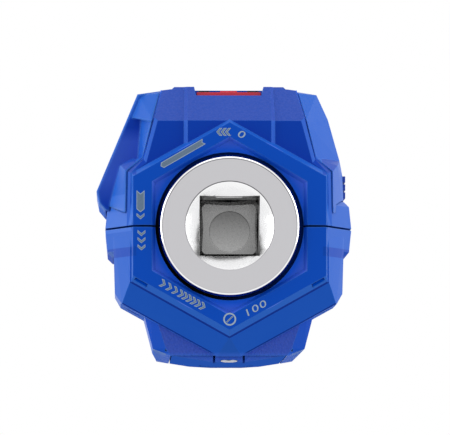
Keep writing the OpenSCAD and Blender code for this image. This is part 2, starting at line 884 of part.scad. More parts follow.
// Display: a clear lens let into the pad, over a glass panel in a holder
lens_edge = 0.8;
lens_w = window_w + 2 * lens_edge;
lens_len = window_len + 2 * lens_edge;
lens_thick = 1;
lens_sink = 0.1;
tray_lead = 1;
tray_len = 11.4;
tray_y = deck_y - tray_lead;
tray_end = tray_y + tray_len;
tray_bridge = 2.2;
window_y = tray_end + tray_bridge + window_len / 2;
glass_w = lens_w + lens_edge;
glass_len = lens_len + lens_edge;
glass_thick = 1.8;
glass_top = cavity_top - 2 * rest_gap;
module slab(w, l, z0, z1) {
    translate([-w / 2, window_y - l / 2, z0]) cube([w, l, z1 - z0]);
}
module display_lens() {
    color([0.4, 0.45, 0.5, 0.5])
        slab(lens_w, lens_len, pad_top - lens_sink - lens_thick, pad_top - lens_sink);
}
module lcd_glass() {
    color("palegreen") slab(glass_w, glass_len, glass_top - glass_thick, glass_top);
}
module lcd_holder() {
    color("white") difference() {
        slab(board_w, glass_len + 2 * lens_edge, board_top + rest_gap, glass_top - over);
        slab(glass_w + 2 * rest_gap, glass_len + 2 * rest_gap,
            glass_top - glass_thick - rest_gap, glass_top + over);
    }
}
// Keys: caps that stand in the red tray over push switches on the board
tray_deep = 2.05;
tray_plate = 0.8;
tray_floor = pad_top - tray_deep;
tray_half = tray_w / 2;
tray_flare = 0.5;
tray_step = 0.9;
key_len = 5.6;
key_w = 2.4;
power_w = 3.6;
key_x = 5.3;
key_back = 0.8;
key_y = cavity_y + key_len / 2 + key_back;
key_stand = 1.35;
key_top = tray_floor + key_stand;
key_rim = 0.5;
rim_thick = 0.6;
rim_low = cavity_top - fit - rim_thick;
module key_windows() {
    for (k = [[-key_x, key_w], [0, power_w], [key_x, key_w]])
        translate([k[0], key_y])
            square([k[1] + 2 * fit, key_len + 2 * fit], center = true);
}
module keypad_tray() {
    color("crimson") difference() {
        translate([fit - tray_half, tray_y + tray_step, tray_floor + rest_gap])
            cube([tray_w - 2 * fit, tray_len - tray_step - fit, tray_plate]);
        translate([0, 0, tray_floor - over]) linear_extrude(tray_plate + 2 * over) key_windows();
    }
}
module key(x, w) {
    translate([x, key_y, 0]) {
        translate([-w / 2, -key_len / 2, rim_low]) cube([w, key_len, key_top - rim_low]);
        translate([-w / 2 - key_rim, -key_len / 2 - key_rim, rim_low])
            cube([w + 2 * key_rim, key_len + 2 * key_rim, rim_thick]);
    }
}
module power_key() {
    color("crimson") key(0, power_w);
}
module minus_key() {
    color("black") key(-key_x, key_w);
}
module plus_key() {
    color("black") key(key_x, key_w);
}
switch_w = 3;
plunger_r = 0.8;
switch_share = 0.6;
switch_top = rim_low - key_travel - fit;
module dome_switches() {
    color("silver") for (x = [-key_x, 0, key_x])
        translate([x, key_y, board_top + rest_gap]) {
            translate([-switch_w / 2, -switch_w / 2, 0])
                cube([switch_w, switch_w, switch_share * (switch_top - board_top)]);
            cylinder(r = plunger_r, h = switch_top - board_top - rest_gap);
        }
}

// Wiring: leads from the front contacts and from the buzzer, in channels of their own
lead_w = 1.2;
lead_half = 0.2;
lead_room = 0.4;
lead_y = board_y + 2 * rest_gap;
lead_x = tab_x + plate_thick + lead_half + rest_gap;
lead_out = 1.2;
lead_far = bore_r + lead_out;
lead_in = 0.3;
lead_near = board_w / 2 - lead_in;
lead_bend = 0.9;
lead_low_share = 0.78;
lead_mid_share = 0.5;
lead_high_share = 1.07;
lead_path = [
    [lead_x, cell_z + lead_room], [lead_x, plate_high], [lead_far, -lead_low_share * bore_r],
    [lead_far, lead_mid_share * bore_r], [lead_near + lead_bend, lead_high_share * bore_r],
    [lead_near, board_z - lead_bend], [lead_near, board_z - rest_gap]
];
function band(half) = concat([for (p = lead_path) [p[0] + half, p[1]]],
    [for (i = [len(lead_path) - 1:-1:0]) [lead_path[i][0] - half, lead_path[i][1]]]);
module battery_leads() {
    color("red") mirrored() prism(lead_y, lead_y + lead_w) polygon(band(lead_half));
}
module lead_channels() {
    mirrored() prism(lead_y - lead_room / 2, lead_y + lead_w + lead_room / 2)
        polygon(band(lead_half + lead_room));
}
module contact_pockets() {
    mirrored() translate([0, bay_y, cell_z - fit])
        cube([lead_x + lead_half + lead_room, lead_y + lead_w + lead_room / 2 - bay_y,
            plate_up + 2 * fit]);
}
wire_r = 0.45;
wire_drop = 1.6;
wire_back = 0.6;
wire_z = sounder_z - wire_drop;
wire_out = wing_reach - (wall + fit + buzzer_thick) / cos(wing_lean)
    - (wire_z + wire_r - wing_tip_z) * tan(wing_lean) - rest_gap;
wire_in = board_w / 2 - wire_back;
module wire_hole() {
    translate([-wire_out - wall, sounder_y, wire_z]) rotate([0, 90, 0])
        cylinder(r = 2 * wire_r, h = wire_out + wall - cavity_half + over);
}
module buzzer_wire() {
    color("red") {
        translate([-wire_out, sounder_y, wire_z]) rotate([0, 90, 0])
            cylinder(r = wire_r, h = wire_out - wire_in + wire_r);
        translate([-wire_in, sounder_y, wire_z - wire_r])
            cylinder(r = wire_r, h = board_z - rest_gap - wire_z + wire_r);
    }
}
// Housing screws, driven up from below
screw_x = 20.3;
screw_back = 4;
screw_r = 1.25;
screw_head_r = 2.1;
screw_head_h = 1.6;
screw_room = 0.2;
screw_seat = -9;
screw_top = 4.2;
module screw_places(z) {
    for (x = [-screw_x, screw_x], y = [wide_y + screw_back, tail_y]) translate([x, y, z]) children();
}
module housing_screws() {
    color("dimgray") {
        screw_places(screw_seat - screw_head_h - rest_gap)
            cylinder(r = screw_head_r, h = screw_head_h);
        screw_places(screw_seat - 2 * rest_gap)
            cylinder(r = screw_r, h = screw_top - screw_seat + 2 * rest_gap);
    }
}

// Upper and lower shells
module upper_half() {
    translate([-belt_w, -over, split_gap / 2]) cube([2 * belt_w, 2 * end_y, 2 * deck_h]);
}
module lower_half() {
    translate([-belt_w, -over, -2 * deck_h - split_gap / 2])
        cube([2 * belt_w, 2 * end_y, 2 * deck_h]);
}
// Room for the shaft: wide bore, pocket for the keyed flange and hole for the neck
pocket_y = flange_y - fit;
module shaft_room() {
    bar(bore_r, -over, pocket_y - wall);
    bar(flange_r - wall, pocket_y - wall - over, pocket_y + over);
    prism(pocket_y, flange_y + key_flange_len + fit)
        rotate(30) circle(r = flange_r + fit / cos(30), $fn = 6);
    bar(neck_r + bore_play, flange_y, end_y + 2 * collar_out);
    hex_recess();
}
module upper_shell() {
    color("royalblue") difference() {
        intersection() {
            union() {
                hex_form();
                deck_form();
                panel_form();
                shoulder_form();
                belt_form();
                pad_form();
                collar_form();
            }
            upper_half();
        }
        shaft_room();
        difference() {
            prism(cavity_y, cavity_end)
                polygon(both([[cavity_half, 0], [cavity_half, cavity_top]]));
            board_places(board_top + rest_gap) cylinder(r = post_r, h = deck_h);
        }
        board_places(board_top - over)
            cylinder(r = board_screw_r + rest_gap, h = post_hole + over);
        prism(-over, tray_end) polygon(both([
            [tray_half, tray_floor], [tray_half + tray_flare, pad_top + over]
        ]));
        translate([0, 0, cavity_top - over]) linear_extrude(pad_top) key_windows();
        slab(window_w, window_len, cavity_top - over, pad_top + over);
        slab(lens_w + fit, lens_len + fit, pad_top - lens_sink - lens_thick - rest_gap,
            pad_top + over);
        lead_channels();
        sounder_room();
        screw_places(-over) cylinder(r = screw_r + rest_gap, h = screw_top + fit + over);
        wire_hole();
    }
}
// Slot beside each lower corner of the hexagon
slot_size = [3, 3.5, 0.7];
slot_x = 19;
slot_z = -12.1;
module corner_slots() {
    mirrored() translate([slot_x, face_y + slot_size[1] / 2, slot_z])
        rotate([0, -hex_slope, 0]) cube(slot_size + [0, 2 * over, 0], center = true);
}
module lower_shell() {
    color("royalblue") difference() {
        intersection() {
            union() {
                hex_form();
                belt_form();
                shield_form();
                bay_form();
                collar_form();
            }
            lower_half();
        }
        shaft_room();
        difference() {
            prism(bay_y, bay_end) polygon(both([
                [bay_half, lip_low - wall], [bay_half, cell_z + cell_r + bay_clear]
            ]));
            bar(bore_r + bay_web, 0, end_y);
        }
        door_room();
        lead_channels();
        contact_pockets();
        corner_slots();
        screw_places(-deck_h) {
            cylinder(r = screw_head_r + screw_room, h = deck_h + screw_seat);
            cylinder(r = screw_r + screw_room, h = 2 * deck_h);
        }
    }
}
module front_seal() {
    color("black") difference() {
        bar(bore_r - rest_gap, base_y, base_y + wall);
        bar(head_r + rest_gap, 0, end_y);
    }
}
module rear_seal() {
    color("black") difference() {
        bar(neck_r + bore_play - rest_gap, end_y - wall, end_y);
        bar(neck_r + rest_gap, 0, tip_y);
    }
}

torque_shaft();
detent_ball();
detent_spring();
strain_gauges();
gauge_ribbon();
upper_shell();
lower_shell();
left_cheek();
right_cheek();
side_grip();
front_seal();
rear_seal();
display_lens();
lcd_glass();
lcd_holder();
keypad_tray();
power_key();
minus_key();
plus_key();
main_board();
dome_switches();
board_chips();
buzzer();
buzzer_wire();
battery_cells();
front_contacts();
rear_contact();
battery_leads();
battery_door();
housing_screws();
board_screws();
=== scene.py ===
import bpy
import bmesh
import math
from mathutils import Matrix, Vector


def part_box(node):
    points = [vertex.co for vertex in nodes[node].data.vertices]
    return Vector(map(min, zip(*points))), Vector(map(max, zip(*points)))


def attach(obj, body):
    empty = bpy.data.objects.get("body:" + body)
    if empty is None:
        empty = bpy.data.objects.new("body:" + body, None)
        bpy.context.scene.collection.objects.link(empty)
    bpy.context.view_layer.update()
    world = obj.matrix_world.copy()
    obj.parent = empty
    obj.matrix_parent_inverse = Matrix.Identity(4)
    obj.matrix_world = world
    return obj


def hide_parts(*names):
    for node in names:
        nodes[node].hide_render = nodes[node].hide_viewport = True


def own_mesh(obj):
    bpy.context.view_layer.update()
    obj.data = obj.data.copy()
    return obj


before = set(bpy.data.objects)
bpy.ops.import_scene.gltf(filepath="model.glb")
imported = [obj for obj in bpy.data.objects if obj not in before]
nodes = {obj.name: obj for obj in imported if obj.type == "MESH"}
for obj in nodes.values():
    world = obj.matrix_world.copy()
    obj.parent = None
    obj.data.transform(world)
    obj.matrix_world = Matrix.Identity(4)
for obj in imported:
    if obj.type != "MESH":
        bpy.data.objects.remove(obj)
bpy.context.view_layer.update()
MM = 0.001

# Camera: it stands 1.2 m from the socket, a little below the drive axis and a shade to its
# left, so that the round head is seen full face. On the head's front face one millimetre
# is 4.67 pixels of the 450 pixel wide frame.
camera_distance = 1200 * MM
camera_drop = math.radians(3.3)
camera_turn = math.radians(-1.1)
pixels_per_mm = 4.67
frame_pixels = 450
frame_wide = frame_pixels / pixels_per_mm * MM
aim_aside = Vector((-1.03, 0, 1.73)) * MM
sensor_wide = 36
camera_from = Vector(
    (
        math.cos(camera_drop) * math.sin(camera_turn),
        -math.cos(camera_drop) * math.cos(camera_turn),
        -math.sin(camera_drop),
    )
)
bpy.ops.object.camera_add(
    location=aim_aside + camera_distance * camera_from,
    rotation=(math.radians(90) + camera_drop, 0, camera_turn),
)
camera = bpy.context.object
camera.name = "studio_camera"
camera.data.sensor_width = sensor_wide
camera.data.lens = sensor_wide * camera_distance / frame_wide
camera.data.clip_start = 10 * MM
camera.data.clip_end = 20
bpy.context.scene.camera = camera
bpy.context.scene.view_settings.view_transform = "Standard"

# Torque shaft: forged steel, plated, with a ground front face round the socket. The
# countersink and the rolled edge are polished, and the broached hole is left duller.
ground_grey = (0.56, 0.555, 0.575)
bright_plate = (0.93, 0.93, 0.935)
# Painted light on the head: dark reflection lines along the annulus's edges, a blue reflection on
# the rolled edge, and shade on the walls of the deep hole.
reflection_line_black = (0.06, 0.06, 0.07)
rim_reflection_blue = (0.02, 0.05, 0.24)
hole_painted_shades = (0.2, 0.2, 0.2), (0.3, 0.3, 0.3)
shank_shades = (0.42, 0.42, 0.43), (0.48, 0.48, 0.49)
ground_deep = 0.02
hole_along = 0.3, 30
hole_side = 6.47
groove_front = 3.4, 5.4
inner_reflection_line, outer_reflection_line = (9.44, 9.64), (14.34, 14.47)
reflection_line_fade = 10
rim_from = 14.82
shank_from = 22
ring_pitch = 0.12
polish_rough, ground_rough, dull_rough, grime_rough = 0.07, 0.22, 0.16, 0.1


def paint(name):
    material = bpy.data.materials.new(name)
    material.use_nodes = True
    return material, material.node_tree, material.node_tree.nodes["Principled BSDF"]


def dress(node, material):
    slots = nodes[node].data.materials
    slots.clear()
    slots.append(material)


def math_node(tree, operation, first, second=None):
    step = tree.nodes.new("ShaderNodeMath")
    step.operation = operation
    for socket, value in zip(step.inputs, (first, second)):
        if isinstance(value, (int, float)):
            socket.default_value = value
        elif value is not None:
            tree.links.new(value, socket)
    return step.outputs["Value"]


def under(tree, value, limit):
    """A mask: 1 where the value is under the limit, and 0 elsewhere."""
    return math_node(tree, "LESS_THAN", value, limit)


def over(tree, value, limit):
    return math_node(tree, "GREATER_THAN", value, limit)


def within(tree, value, limits):
    return times(tree, over(tree, value, limits[0]), under(tree, value, limits[1]))


def times(tree, first, *others):
    product = first
    for value in others:
        product = math_node(tree, "MULTIPLY", product, value)
    return product


def plus(tree, first, second):
    return math_node(tree, "ADD", first, second)


def either(tree, first, second):
    return math_node(tree, "MAXIMUM", first, second)


def held(tree, value, low, high):
    """The value, but never less than low or more than high."""
    return math_node(tree, "MINIMUM", either(tree, value, low), high)


def ramp(tree, value, start, end):
    """Rises from 0 at start to 1 at end, and stays there."""
    slope = 1 / (end - start)
    rise = times(tree, math_node(tree, "SUBTRACT", value, start), slope)
    return held(tree, rise, 0, 1)


def distance(tree, first, second):
    squares = plus(tree, times(tree, first, first), times(tree, second, second))
    return math_node(tree, "SQRT", squares)


def parts_of(tree, vector, scale=1 / MM):
    """The X, Y and Z of a vector. A place is turned into millimetres."""
    axes = tree.nodes.new("ShaderNodeSeparateXYZ")
    tree.links.new(vector, axes.inputs["Vector"])
    if scale == 1:
        return tuple(axes.outputs)
    return tuple(times(tree, part, scale) for part in axes.outputs)


def place_on(tree):
    return tree.nodes.new("ShaderNodeTexCoord").outputs["Object"]


def tint(tree, mask, low, high):
    mix = tree.nodes.new("ShaderNodeMix")
    mix.data_type = "RGBA"
    tree.links.new(mask, mix.inputs["Factor"])
    for socket, value in ((mix.inputs["A"], low), (mix.inputs["B"], high)):
        if isinstance(value, tuple):
            socket.default_value = (*value, 1)
        else:
            tree.links.new(value, socket)
    return mix.outputs["Result"]


def cloud(tree, place, size, detail=2):
    noise = tree.nodes.new("ShaderNodeTexNoise")
    noise.inputs["Scale"].default_value = 1 / (size * MM)
    noise.inputs["Detail"].default_value = detail
    tree.links.new(place, noise.inputs["Vector"])
    return noise.outputs["Fac"]


def relief(tree, shader, height, depth, normal=None):
    bump = tree.nodes.new("ShaderNodeBump")
    bump.inputs["Distance"].default_value = depth * MM
    tree.links.new(height, bump.inputs["Height"])
    if normal is not None:
        tree.links.new(normal, bump.inputs["Normal"])
    tree.links.new(bump.outputs["Normal"], shader.inputs["Normal"])


# Masks: the flat annulus; the hole's walls with the front half of each groove, whose rear
# half the ball keeps bright, painted darker as shade in the deep hole; painted dark
# reflection lines along both edges of the annulus, darker towards the top; the rolled edge,
# painted blue as a reflection of the housing; and the shank behind the head.
plated_steel, tree, shader = paint("plated_steel")
shader.inputs["Metallic"].default_value = 1
spot = place_on(tree)
across, along, up = parts_of(tree, spot)
radius = distance(tree, across, up)
largest = either(
    tree, math_node(tree, "ABSOLUTE", across), math_node(tree, "ABSOLUTE", up)
)
ground = under(tree, along, ground_deep)
in_walls = either(tree, under(tree, largest, hole_side), within(tree, along, groove_front))
hole = times(tree, within(tree, along, hole_along), in_walls)
dark_reflection_lines = either(tree, within(tree, radius, inner_reflection_line), within(tree, radius, outer_reflection_line))
upper = held(tree, ramp(tree, up, -reflection_line_fade, reflection_line_fade), 0.1, 0.9)
rim = over(tree, radius, rim_from)
shank = over(tree, along, shank_from)
grime = cloud(tree, spot, size=1.2, detail=4)
plate = tint(tree, ground, bright_plate, ground_grey)
plate = tint(tree, times(tree, dark_reflection_lines, upper), plate, reflection_line_black)
plate = tint(tree, rim, plate, rim_reflection_blue)
plate = tint(tree, hole, plate, tint(tree, grime, *hole_painted_shades))
plate = tint(tree, shank, plate, tint(tree, grime, *shank_shades))
tree.links.new(plate, shader.inputs["Base Color"])
rings = tree.nodes.new("ShaderNodeTexNoise")
rings.noise_dimensions = "1D"
rings.inputs["Scale"].default_value = 1 / ring_pitch
rings.inputs["Detail"].default_value = 1
tree.links.new(radius, rings.inputs["W"])
rough = plus(tree, times(tree, ground, ground_rough), polish_rough)
rough = plus(tree, rough, times(tree, plus(tree, hole, shank), dull_rough))
rough = plus(tree, rough, times(tree, grime, grime_rough))
tree.links.new(rough, shader.inputs["Roughness"])
grain = plus(
    tree,
    times(tree, rings.outputs["Fac"], ground),
    times(tree, cloud(tree, spot, size=0.3, detail=3), hole),
)
relief(tree, shader, grain, depth=0.004)
dress("torque_shaft", plated_steel)

# Socket floor: the bottom of the broached square, with a fillet up to its walls and the
# shallow round of the drill that went in first, a little off the middle. It is a bevelled
# square bridged to a circle, and the walls lean in towards it half way along.
floor_from_front = 19.7
floor_wide, floor_high = 5.86, 5.43
floor_aside, floor_up = 0.19, 0.3
floor_round = 1.0
hole_half = 6.41
wall_deep = 2.2
wall_leans = (3.8, 0.1), (2.5, 0.1), (1.2, 0.06)
drill_radius = 4.44
drill_aside, drill_up = 0.164, -0.56
drill_steps = (0.12, 0.985), (0.12, 0.3)
lip_inside, lip_outside = drill_radius - 0.08, drill_radius + 0.05
lip_fade = 3.57
nearly = 0.01


def pick(piece, test):
    mesh = bmesh.from_edit_mesh(piece.data)
    for vertex in mesh.verts:
        vertex.select = test(vertex.co)
    mesh.select_flush_mode()
    mesh.select_flush(True)
    bmesh.update_edit_mesh(piece.data)


def alone(piece):
    bpy.ops.object.select_all(action="DESELECT")
    piece.select_set(True)
    bpy.context.view_layer.objects.active = piece


def settle(piece, body):
    alone(piece)
    bpy.ops.object.transform_apply(location=True, rotation=True, scale=True)
    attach(piece, body)


def grey(level):
    return (level, level, level)


bpy.ops.object.select_all(action="DESELECT")
bpy.ops.mesh.primitive_plane_add(size=2 * MM)
square = bpy.context.object
bpy.ops.object.mode_set(mode="EDIT")
bpy.ops.transform.resize(value=(floor_wide, floor_high, 1))
bpy.ops.mesh.bevel(offset=floor_round * MM, segments=9, affect="VERTICES")
bpy.ops.mesh.delete(type="ONLY_FACE")


def ends_a_side(place):
    along_top = abs(abs(place.x) - (floor_wide - floor_round) * MM) < nearly * MM
    along_side = abs(abs(place.y) - (floor_high - floor_round) * MM) < nearly * MM
    return along_top or along_side


pick(square, ends_a_side)
bpy.ops.mesh.subdivide(number_cuts=5)
beyond_corners = 5 * MM
for reach, lean in wall_leans:
    for side in (-1, 1):
        pick(
            square,
            lambda place: side * place.x > beyond_corners and abs(place.y) < reach * MM,
        )
        bpy.ops.transform.translate(value=(-side * lean * MM, 0, 0))
    pick(square, lambda place: place.y > beyond_corners and abs(place.x) < reach * MM)
    bpy.ops.transform.translate(value=(0, -lean * MM, 0))
bpy.ops.object.mode_set(mode="OBJECT")
bpy.ops.mesh.primitive_circle_add(
    vertices=60, radius=drill_radius * MM, location=(drill_aside * MM, drill_up * MM, 0)
)
socket_floor = bpy.context.object
socket_floor.name = "socket_floor"
square.select_set(True)
bpy.ops.object.join()
bpy.ops.object.transform_apply(location=True, rotation=False, scale=False)
bpy.ops.object.mode_set(mode="EDIT")
bpy.ops.mesh.select_all(action="SELECT")
bpy.ops.mesh.bridge_edge_loops()


def in_drill(place):
    aside, above = place.x - drill_aside * MM, place.y - drill_up * MM
    return math.hypot(aside, above) < (drill_radius + 2 * nearly) * MM


pick(socket_floor, in_drill)
for deeper, narrower in drill_steps:
    bpy.ops.mesh.extrude_edges_move(TRANSFORM_OT_translate={"value": (0, 0, -deeper * MM)})
    bpy.ops.transform.resize(value=(narrower, narrower, 1))
bpy.ops.mesh.edge_face_add()
pick(socket_floor, lambda place: not in_drill(place))
to_walls = Vector((-floor_aside, -floor_up, wall_deep)) * MM
bpy.ops.mesh.extrude_edges_move(TRANSFORM_OT_translate={"value": to_walls})
bpy.ops.transform.resize(
    value=(hole_half / floor_wide, hole_half / floor_high, 1),
    center_override=(-floor_aside * MM, -floor_up * MM, 0),
)
bpy.ops.mesh.select_all(action="SELECT")
bpy.ops.mesh.normals_make_consistent(inside=False)
bpy.ops.mesh.flip_normals()
bpy.ops.object.mode_set(mode="OBJECT")
bpy.ops.object.shade_smooth_by_angle(angle=math.radians(35))
socket_floor.rotation_euler = (math.radians(90), 0, 0)
socket_floor.location = Vector((floor_aside, floor_from_front, floor_up)) * MM
dull_steel, tree, shader = paint("dull_steel")
shader.inputs["Metallic"].default_value = 1
spot = place_on(tree)
across, along, up = parts_of(tree, spot)
across = math_node(tree, "SUBTRACT", across, floor_aside + drill_aside)
up = math_node(tree, "SUBTRACT", up, floor_up + drill_up)
radius = distance(tree, across, up)
# Painted light: the drill's round and its lip run from dark at the top to light at the bottom, as
# if lit from above, and the strip where the floor turns up into the walls is painted darker as
# shade.
low = ramp(tree, up, lip_fade, -lip_fade)
rust = cloud(tree, spot, size=0.6, detail=4)
shade = tint(tree, rust, grey(0.26), grey(0.35))
drilled_shade = tint(tree, low, grey(0.17), grey(0.38))
lip_shade = tint(tree, low, grey(0.08), grey(0.6))
shade = tint(tree, under(tree, radius, lip_inside), shade, drilled_shade)
shade = tint(tree, within(tree, radius, (lip_inside, lip_outside)), shade, lip_shade)
shade = tint(tree, under(tree, along, floor_from_front - 2 * nearly), shade, grey(0.22))
tree.links.new(shade, shader.inputs["Base Color"])
tree.links.new(plus(tree, times(tree, rust, 0.1), 0.22), shader.inputs["Roughness"])
relief(tree, shader, rust, depth=0.01)
socket_floor.data.materials.append(dull_steel)
settle(socket_floor, "housing")

# Detent ball, its spring, the push switches and the battery contacts: bright spring steel,
# drawn wire and rolled strip, with a fine cloudy mottle.
drawn_shades = (0.55, 0.55, 0.56), (0.75, 0.75, 0.76)
spring_steel, tree, shader = paint("spring_steel")
shader.inputs["Metallic"].default_value = 1
drawn = cloud(tree, place_on(tree), size=0.6, detail=3)
tree.links.new(tint(tree, drawn, *drawn_shades), shader.inputs["Base Color"])
tree.links.new(times(tree, drawn, 0.4), shader.inputs["Roughness"])
for name in ("detent_ball", "detent_spring", "dome_switches", "front_contacts", "rear_contact"):
    dress(name, spring_steel)

# Detent coil: the same spring as a piece with its own mesh, which stands on the floor of its
# hole.
coil = bpy.data.objects.new("detent_coil", bpy.data.objects["detent_spring"].data.copy())
bpy.context.collection.objects.link(coil)
alone(coil)
bpy.ops.object.mode_set(mode="EDIT")
bpy.ops.mesh.select_all(action="SELECT")
bpy.ops.mesh.remove_doubles(threshold=0.001 * MM)
bpy.ops.object.mode_set(mode="OBJECT")
settle(coil, "housing")
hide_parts("detent_spring")
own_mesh(coil)

# Strain gauges and their ribbon: etched copper foil between sheets of amber film, bonded
# round the slim length of the shaft.
film_amber, track_copper = (0.45, 0.19, 0.03), (0.6, 0.34, 0.16)
track_pitch, track_share = 2.4, 0.6
amber_film, tree, shader = paint("amber_film")
tracks = tree.nodes.new("ShaderNodeTexWave")
tracks.bands_direction = "X"
tracks.inputs["Scale"].default_value = 1 / (track_pitch * MM)
tracks.inputs["Distortion"].default_value = 0
tree.links.new(place_on(tree), tracks.inputs["Vector"])
track = over(tree, tracks.outputs["Fac"], track_share)
tree.links.new(tint(tree, track, film_amber, track_copper), shader.inputs["Base Color"])
shader.inputs["Roughness"].default_value = 0.35
relief(tree, shader, track, depth=0.03)
dress("strain_gauges", amber_film)
dress("gauge_ribbon", amber_film)

# Housing: two shells, two cheeks and a battery door, moulded in blue nylon. Most faces are
# smooth; the brow, the dish in the hexagon and the bay's front have a fine sparked grain.
# First come the grain and a painted highlight along the edges, which other mouldings share.
fine_grain, broad_grain, pit_size = 0.35, 9, 0.55
fine_share = 0.12
edge_gain = 6


def sockets(group, inputs, outputs):
    for name, default in inputs:
        socket = group.interface.new_socket(name, in_out="INPUT", socket_type="NodeSocketFloat")
        socket.default_value = default
    for name in outputs:
        group.interface.new_socket(name, in_out="OUTPUT", socket_type="NodeSocketFloat")


moulded_skin = bpy.data.node_groups.new("moulded_skin", "ShaderNodeTree")
sockets(moulded_skin, (("Grain", 0.2), ("Depth", 1.0)), ("Height", "Mottle"))
skin_in = moulded_skin.nodes.new("NodeGroupInput")
skin_out = moulded_skin.nodes.new("NodeGroupOutput")
skin_spot = place_on(moulded_skin)
pits = moulded_skin.nodes.new("ShaderNodeTexVoronoi")
pits.inputs["Scale"].default_value = 1 / (pit_size * MM)
moulded_skin.links.new(skin_spot, pits.inputs["Vector"])
sparked = times(
    moulded_skin, pits.outputs["Distance"], skin_in.outputs["Grain"], skin_in.outputs["Depth"]
)
fine = times(moulded_skin, cloud(moulded_skin, skin_spot, fine_grain), fine_share)
moulded_skin.links.new(plus(moulded_skin, fine, sparked), skin_out.inputs["Height"])
mottle = cloud(moulded_skin, skin_spot, broad_grain)
moulded_skin.links.new(mottle, skin_out.inputs["Mottle"])

# Painted highlight: Edge is strongest where the rounded normal turns away from the flat one, so
# it lightens the edges; the rounded normal also softens them.
edge_highlight = bpy.data.node_groups.new("edge_highlight", "ShaderNodeTree")
sockets(edge_highlight, (("Radius", 0.25),), ("Edge",))
edge_highlight.interface.new_socket("Normal", in_out="OUTPUT", socket_type="NodeSocketVector")
edge_in = edge_highlight.nodes.new("NodeGroupInput")
edge_out = edge_highlight.nodes.new("NodeGroupOutput")
rounded = edge_highlight.nodes.new("ShaderNodeBevel")
rounded.samples = 6
edge_highlight.links.new(
    times(edge_highlight, edge_in.outputs["Radius"], MM), rounded.inputs["Radius"]
)
flat = edge_highlight.nodes.new("ShaderNodeNewGeometry")
agree = edge_highlight.nodes.new("ShaderNodeVectorMath")
agree.operation = "DOT_PRODUCT"
edge_highlight.links.new(rounded.outputs["Normal"], agree.inputs[0])
edge_highlight.links.new(flat.outputs["True Normal"], agree.inputs[1])
turn = math_node(edge_highlight, "SUBTRACT", 1.0, agree.outputs["Value"])
edge_highlight.links.new(
    math_node(edge_highlight, "MINIMUM", times(edge_highlight, turn, edge_gain), 1.0),
    edge_out.inputs["Edge"],
)
edge_highlight.links.new(rounded.outputs["Normal"], edge_out.inputs["Normal"])


def place_group(tree, group, **values):
    placed = tree.nodes.new("ShaderNodeGroup")
    placed.node_tree = group
    for name, value in values.items():
        if isinstance(value, (int, float)):
            placed.inputs[name].default_value = value
        else:
            tree.links.new(value, placed.inputs[name])
    return placed


# Where the shades of blue lie: aside of the drive axis, along it from the socket end, and
# up, all in millimetres. A fade starts at its first value and is full at its second.
deck_front = 2.7
dish_along, dish_reach, dish_fade = (1.25, deck_front), 19.6, (16.4, 19.4)
scoop_aside, scoop_along, scoop_up = -17, 5, (-6, 24)
scoop_top_fade, scoop_foot_fade = (22, 19), (5, 11)
chamfer_along = 1.25, 3.3
crease_front, crease_back, crease_up = (3.3, 3.8), (7.85, 8.1), -7
flank_aside, flank_up = -20, (-1, 7)
shoulder_aside, shoulder_top, shoulder_foot = 20, (11, 15.5), (-6.4, -4.4)
recess_up, recess_aside = 6, 21
bay_up, bay_along = -17, 7
corner_up, corner_along = -19, (8.7, 12.5)
# Painted glints: where the pale spots on faces turned down lie.
glint_fade, glint_inside, glint_up, glint_aside = (26, 10), 13.6, -24, -24
foot_fade = -26.8, -27.4

# How the faces lean, as the X, Y or Z of the normal: -1 in Y faces the socket end, and -1
# in Z faces down.
front_lean, brow_lean, dish_lean, scoop_lean, flank_lean = -0.8, 0.5, -0.1, -0.6, -0.8
slope_lean, shoulder_lean, side_lean = (-0.9, -0.4), (0.3, 0.95), (-0.95, -0.6)
corner_lean, glint_lean, underneath_lean = (-0.98, -0.4), (-0.985, -0.55), -0.5

# The shades, in the order in which they cover one another: where, how strongly, which blue.
# Most are painted light and shade. Painted shade darkens the recessed front behind the
# hexagon, the scoop, the shoulders and the strip under the belt, the creases and the bay's
# lower corners. Painted light lightens faces turned to the side, the left flank and the
# dish, with painted highlights at the dish's corners, in the middle of the scoop, on the
# chamfer and along every edge, and pale painted glints on faces turned down at the bottom
# corners and the left wing's tip. The sparked grain and its speckle keep the nylon's own
# tone, and the foot is a lighter band along the very bottom.
smooth_blue, side_lit_blue = (0.0, 0.076, 0.55), (0.014, 0.116, 0.575)
painted_shade_blue, highlight_blue = (0.0, 0.048, 0.44), (0.05, 0.21, 0.75)
blue_layers = (
    ("recessed", 1, painted_shade_blue),
    ("scoop", 1, painted_shade_blue),
    ("flank", 1, (0.035, 0.15, 0.64)),
    ("shoulder", 1, (0.0, 0.062, 0.46)),
    ("chamfer", 0.22, highlight_blue),
    ("crease", 1, (0.0, 0.03, 0.3)),
    ("bay_corner", 1, (0.0, 0.068, 0.5)),
    ("sparked", 1, (0.018, 0.08, 0.47)),
    ("bay_front", 1, (0.03, 0.1, 0.58)),
    ("foot", 1, (0.03, 0.135, 0.68)),
    ("speckle", 0.35, (0.14, 0.17, 0.55)),
    ("dish", 1, (0.005, 0.125, 0.85)),
    ("dish_glow", 0.6, (0.16, 0.25, 0.85)),
    ("scoop_glow", 0.8, (0.045, 0.125, 0.62)),
    ("edge", 0.8, highlight_blue),
    ("glint", 1, (0.2, 0.33, 0.58)),
)
nylon_shine = 0.11
nylon_rough, drift_rough, dull_side_rough = 0.33, 0.1, 0.3
nylon_depth = 0.09


def fade(tree, value, limits):
    return ramp(tree, value, *limits)


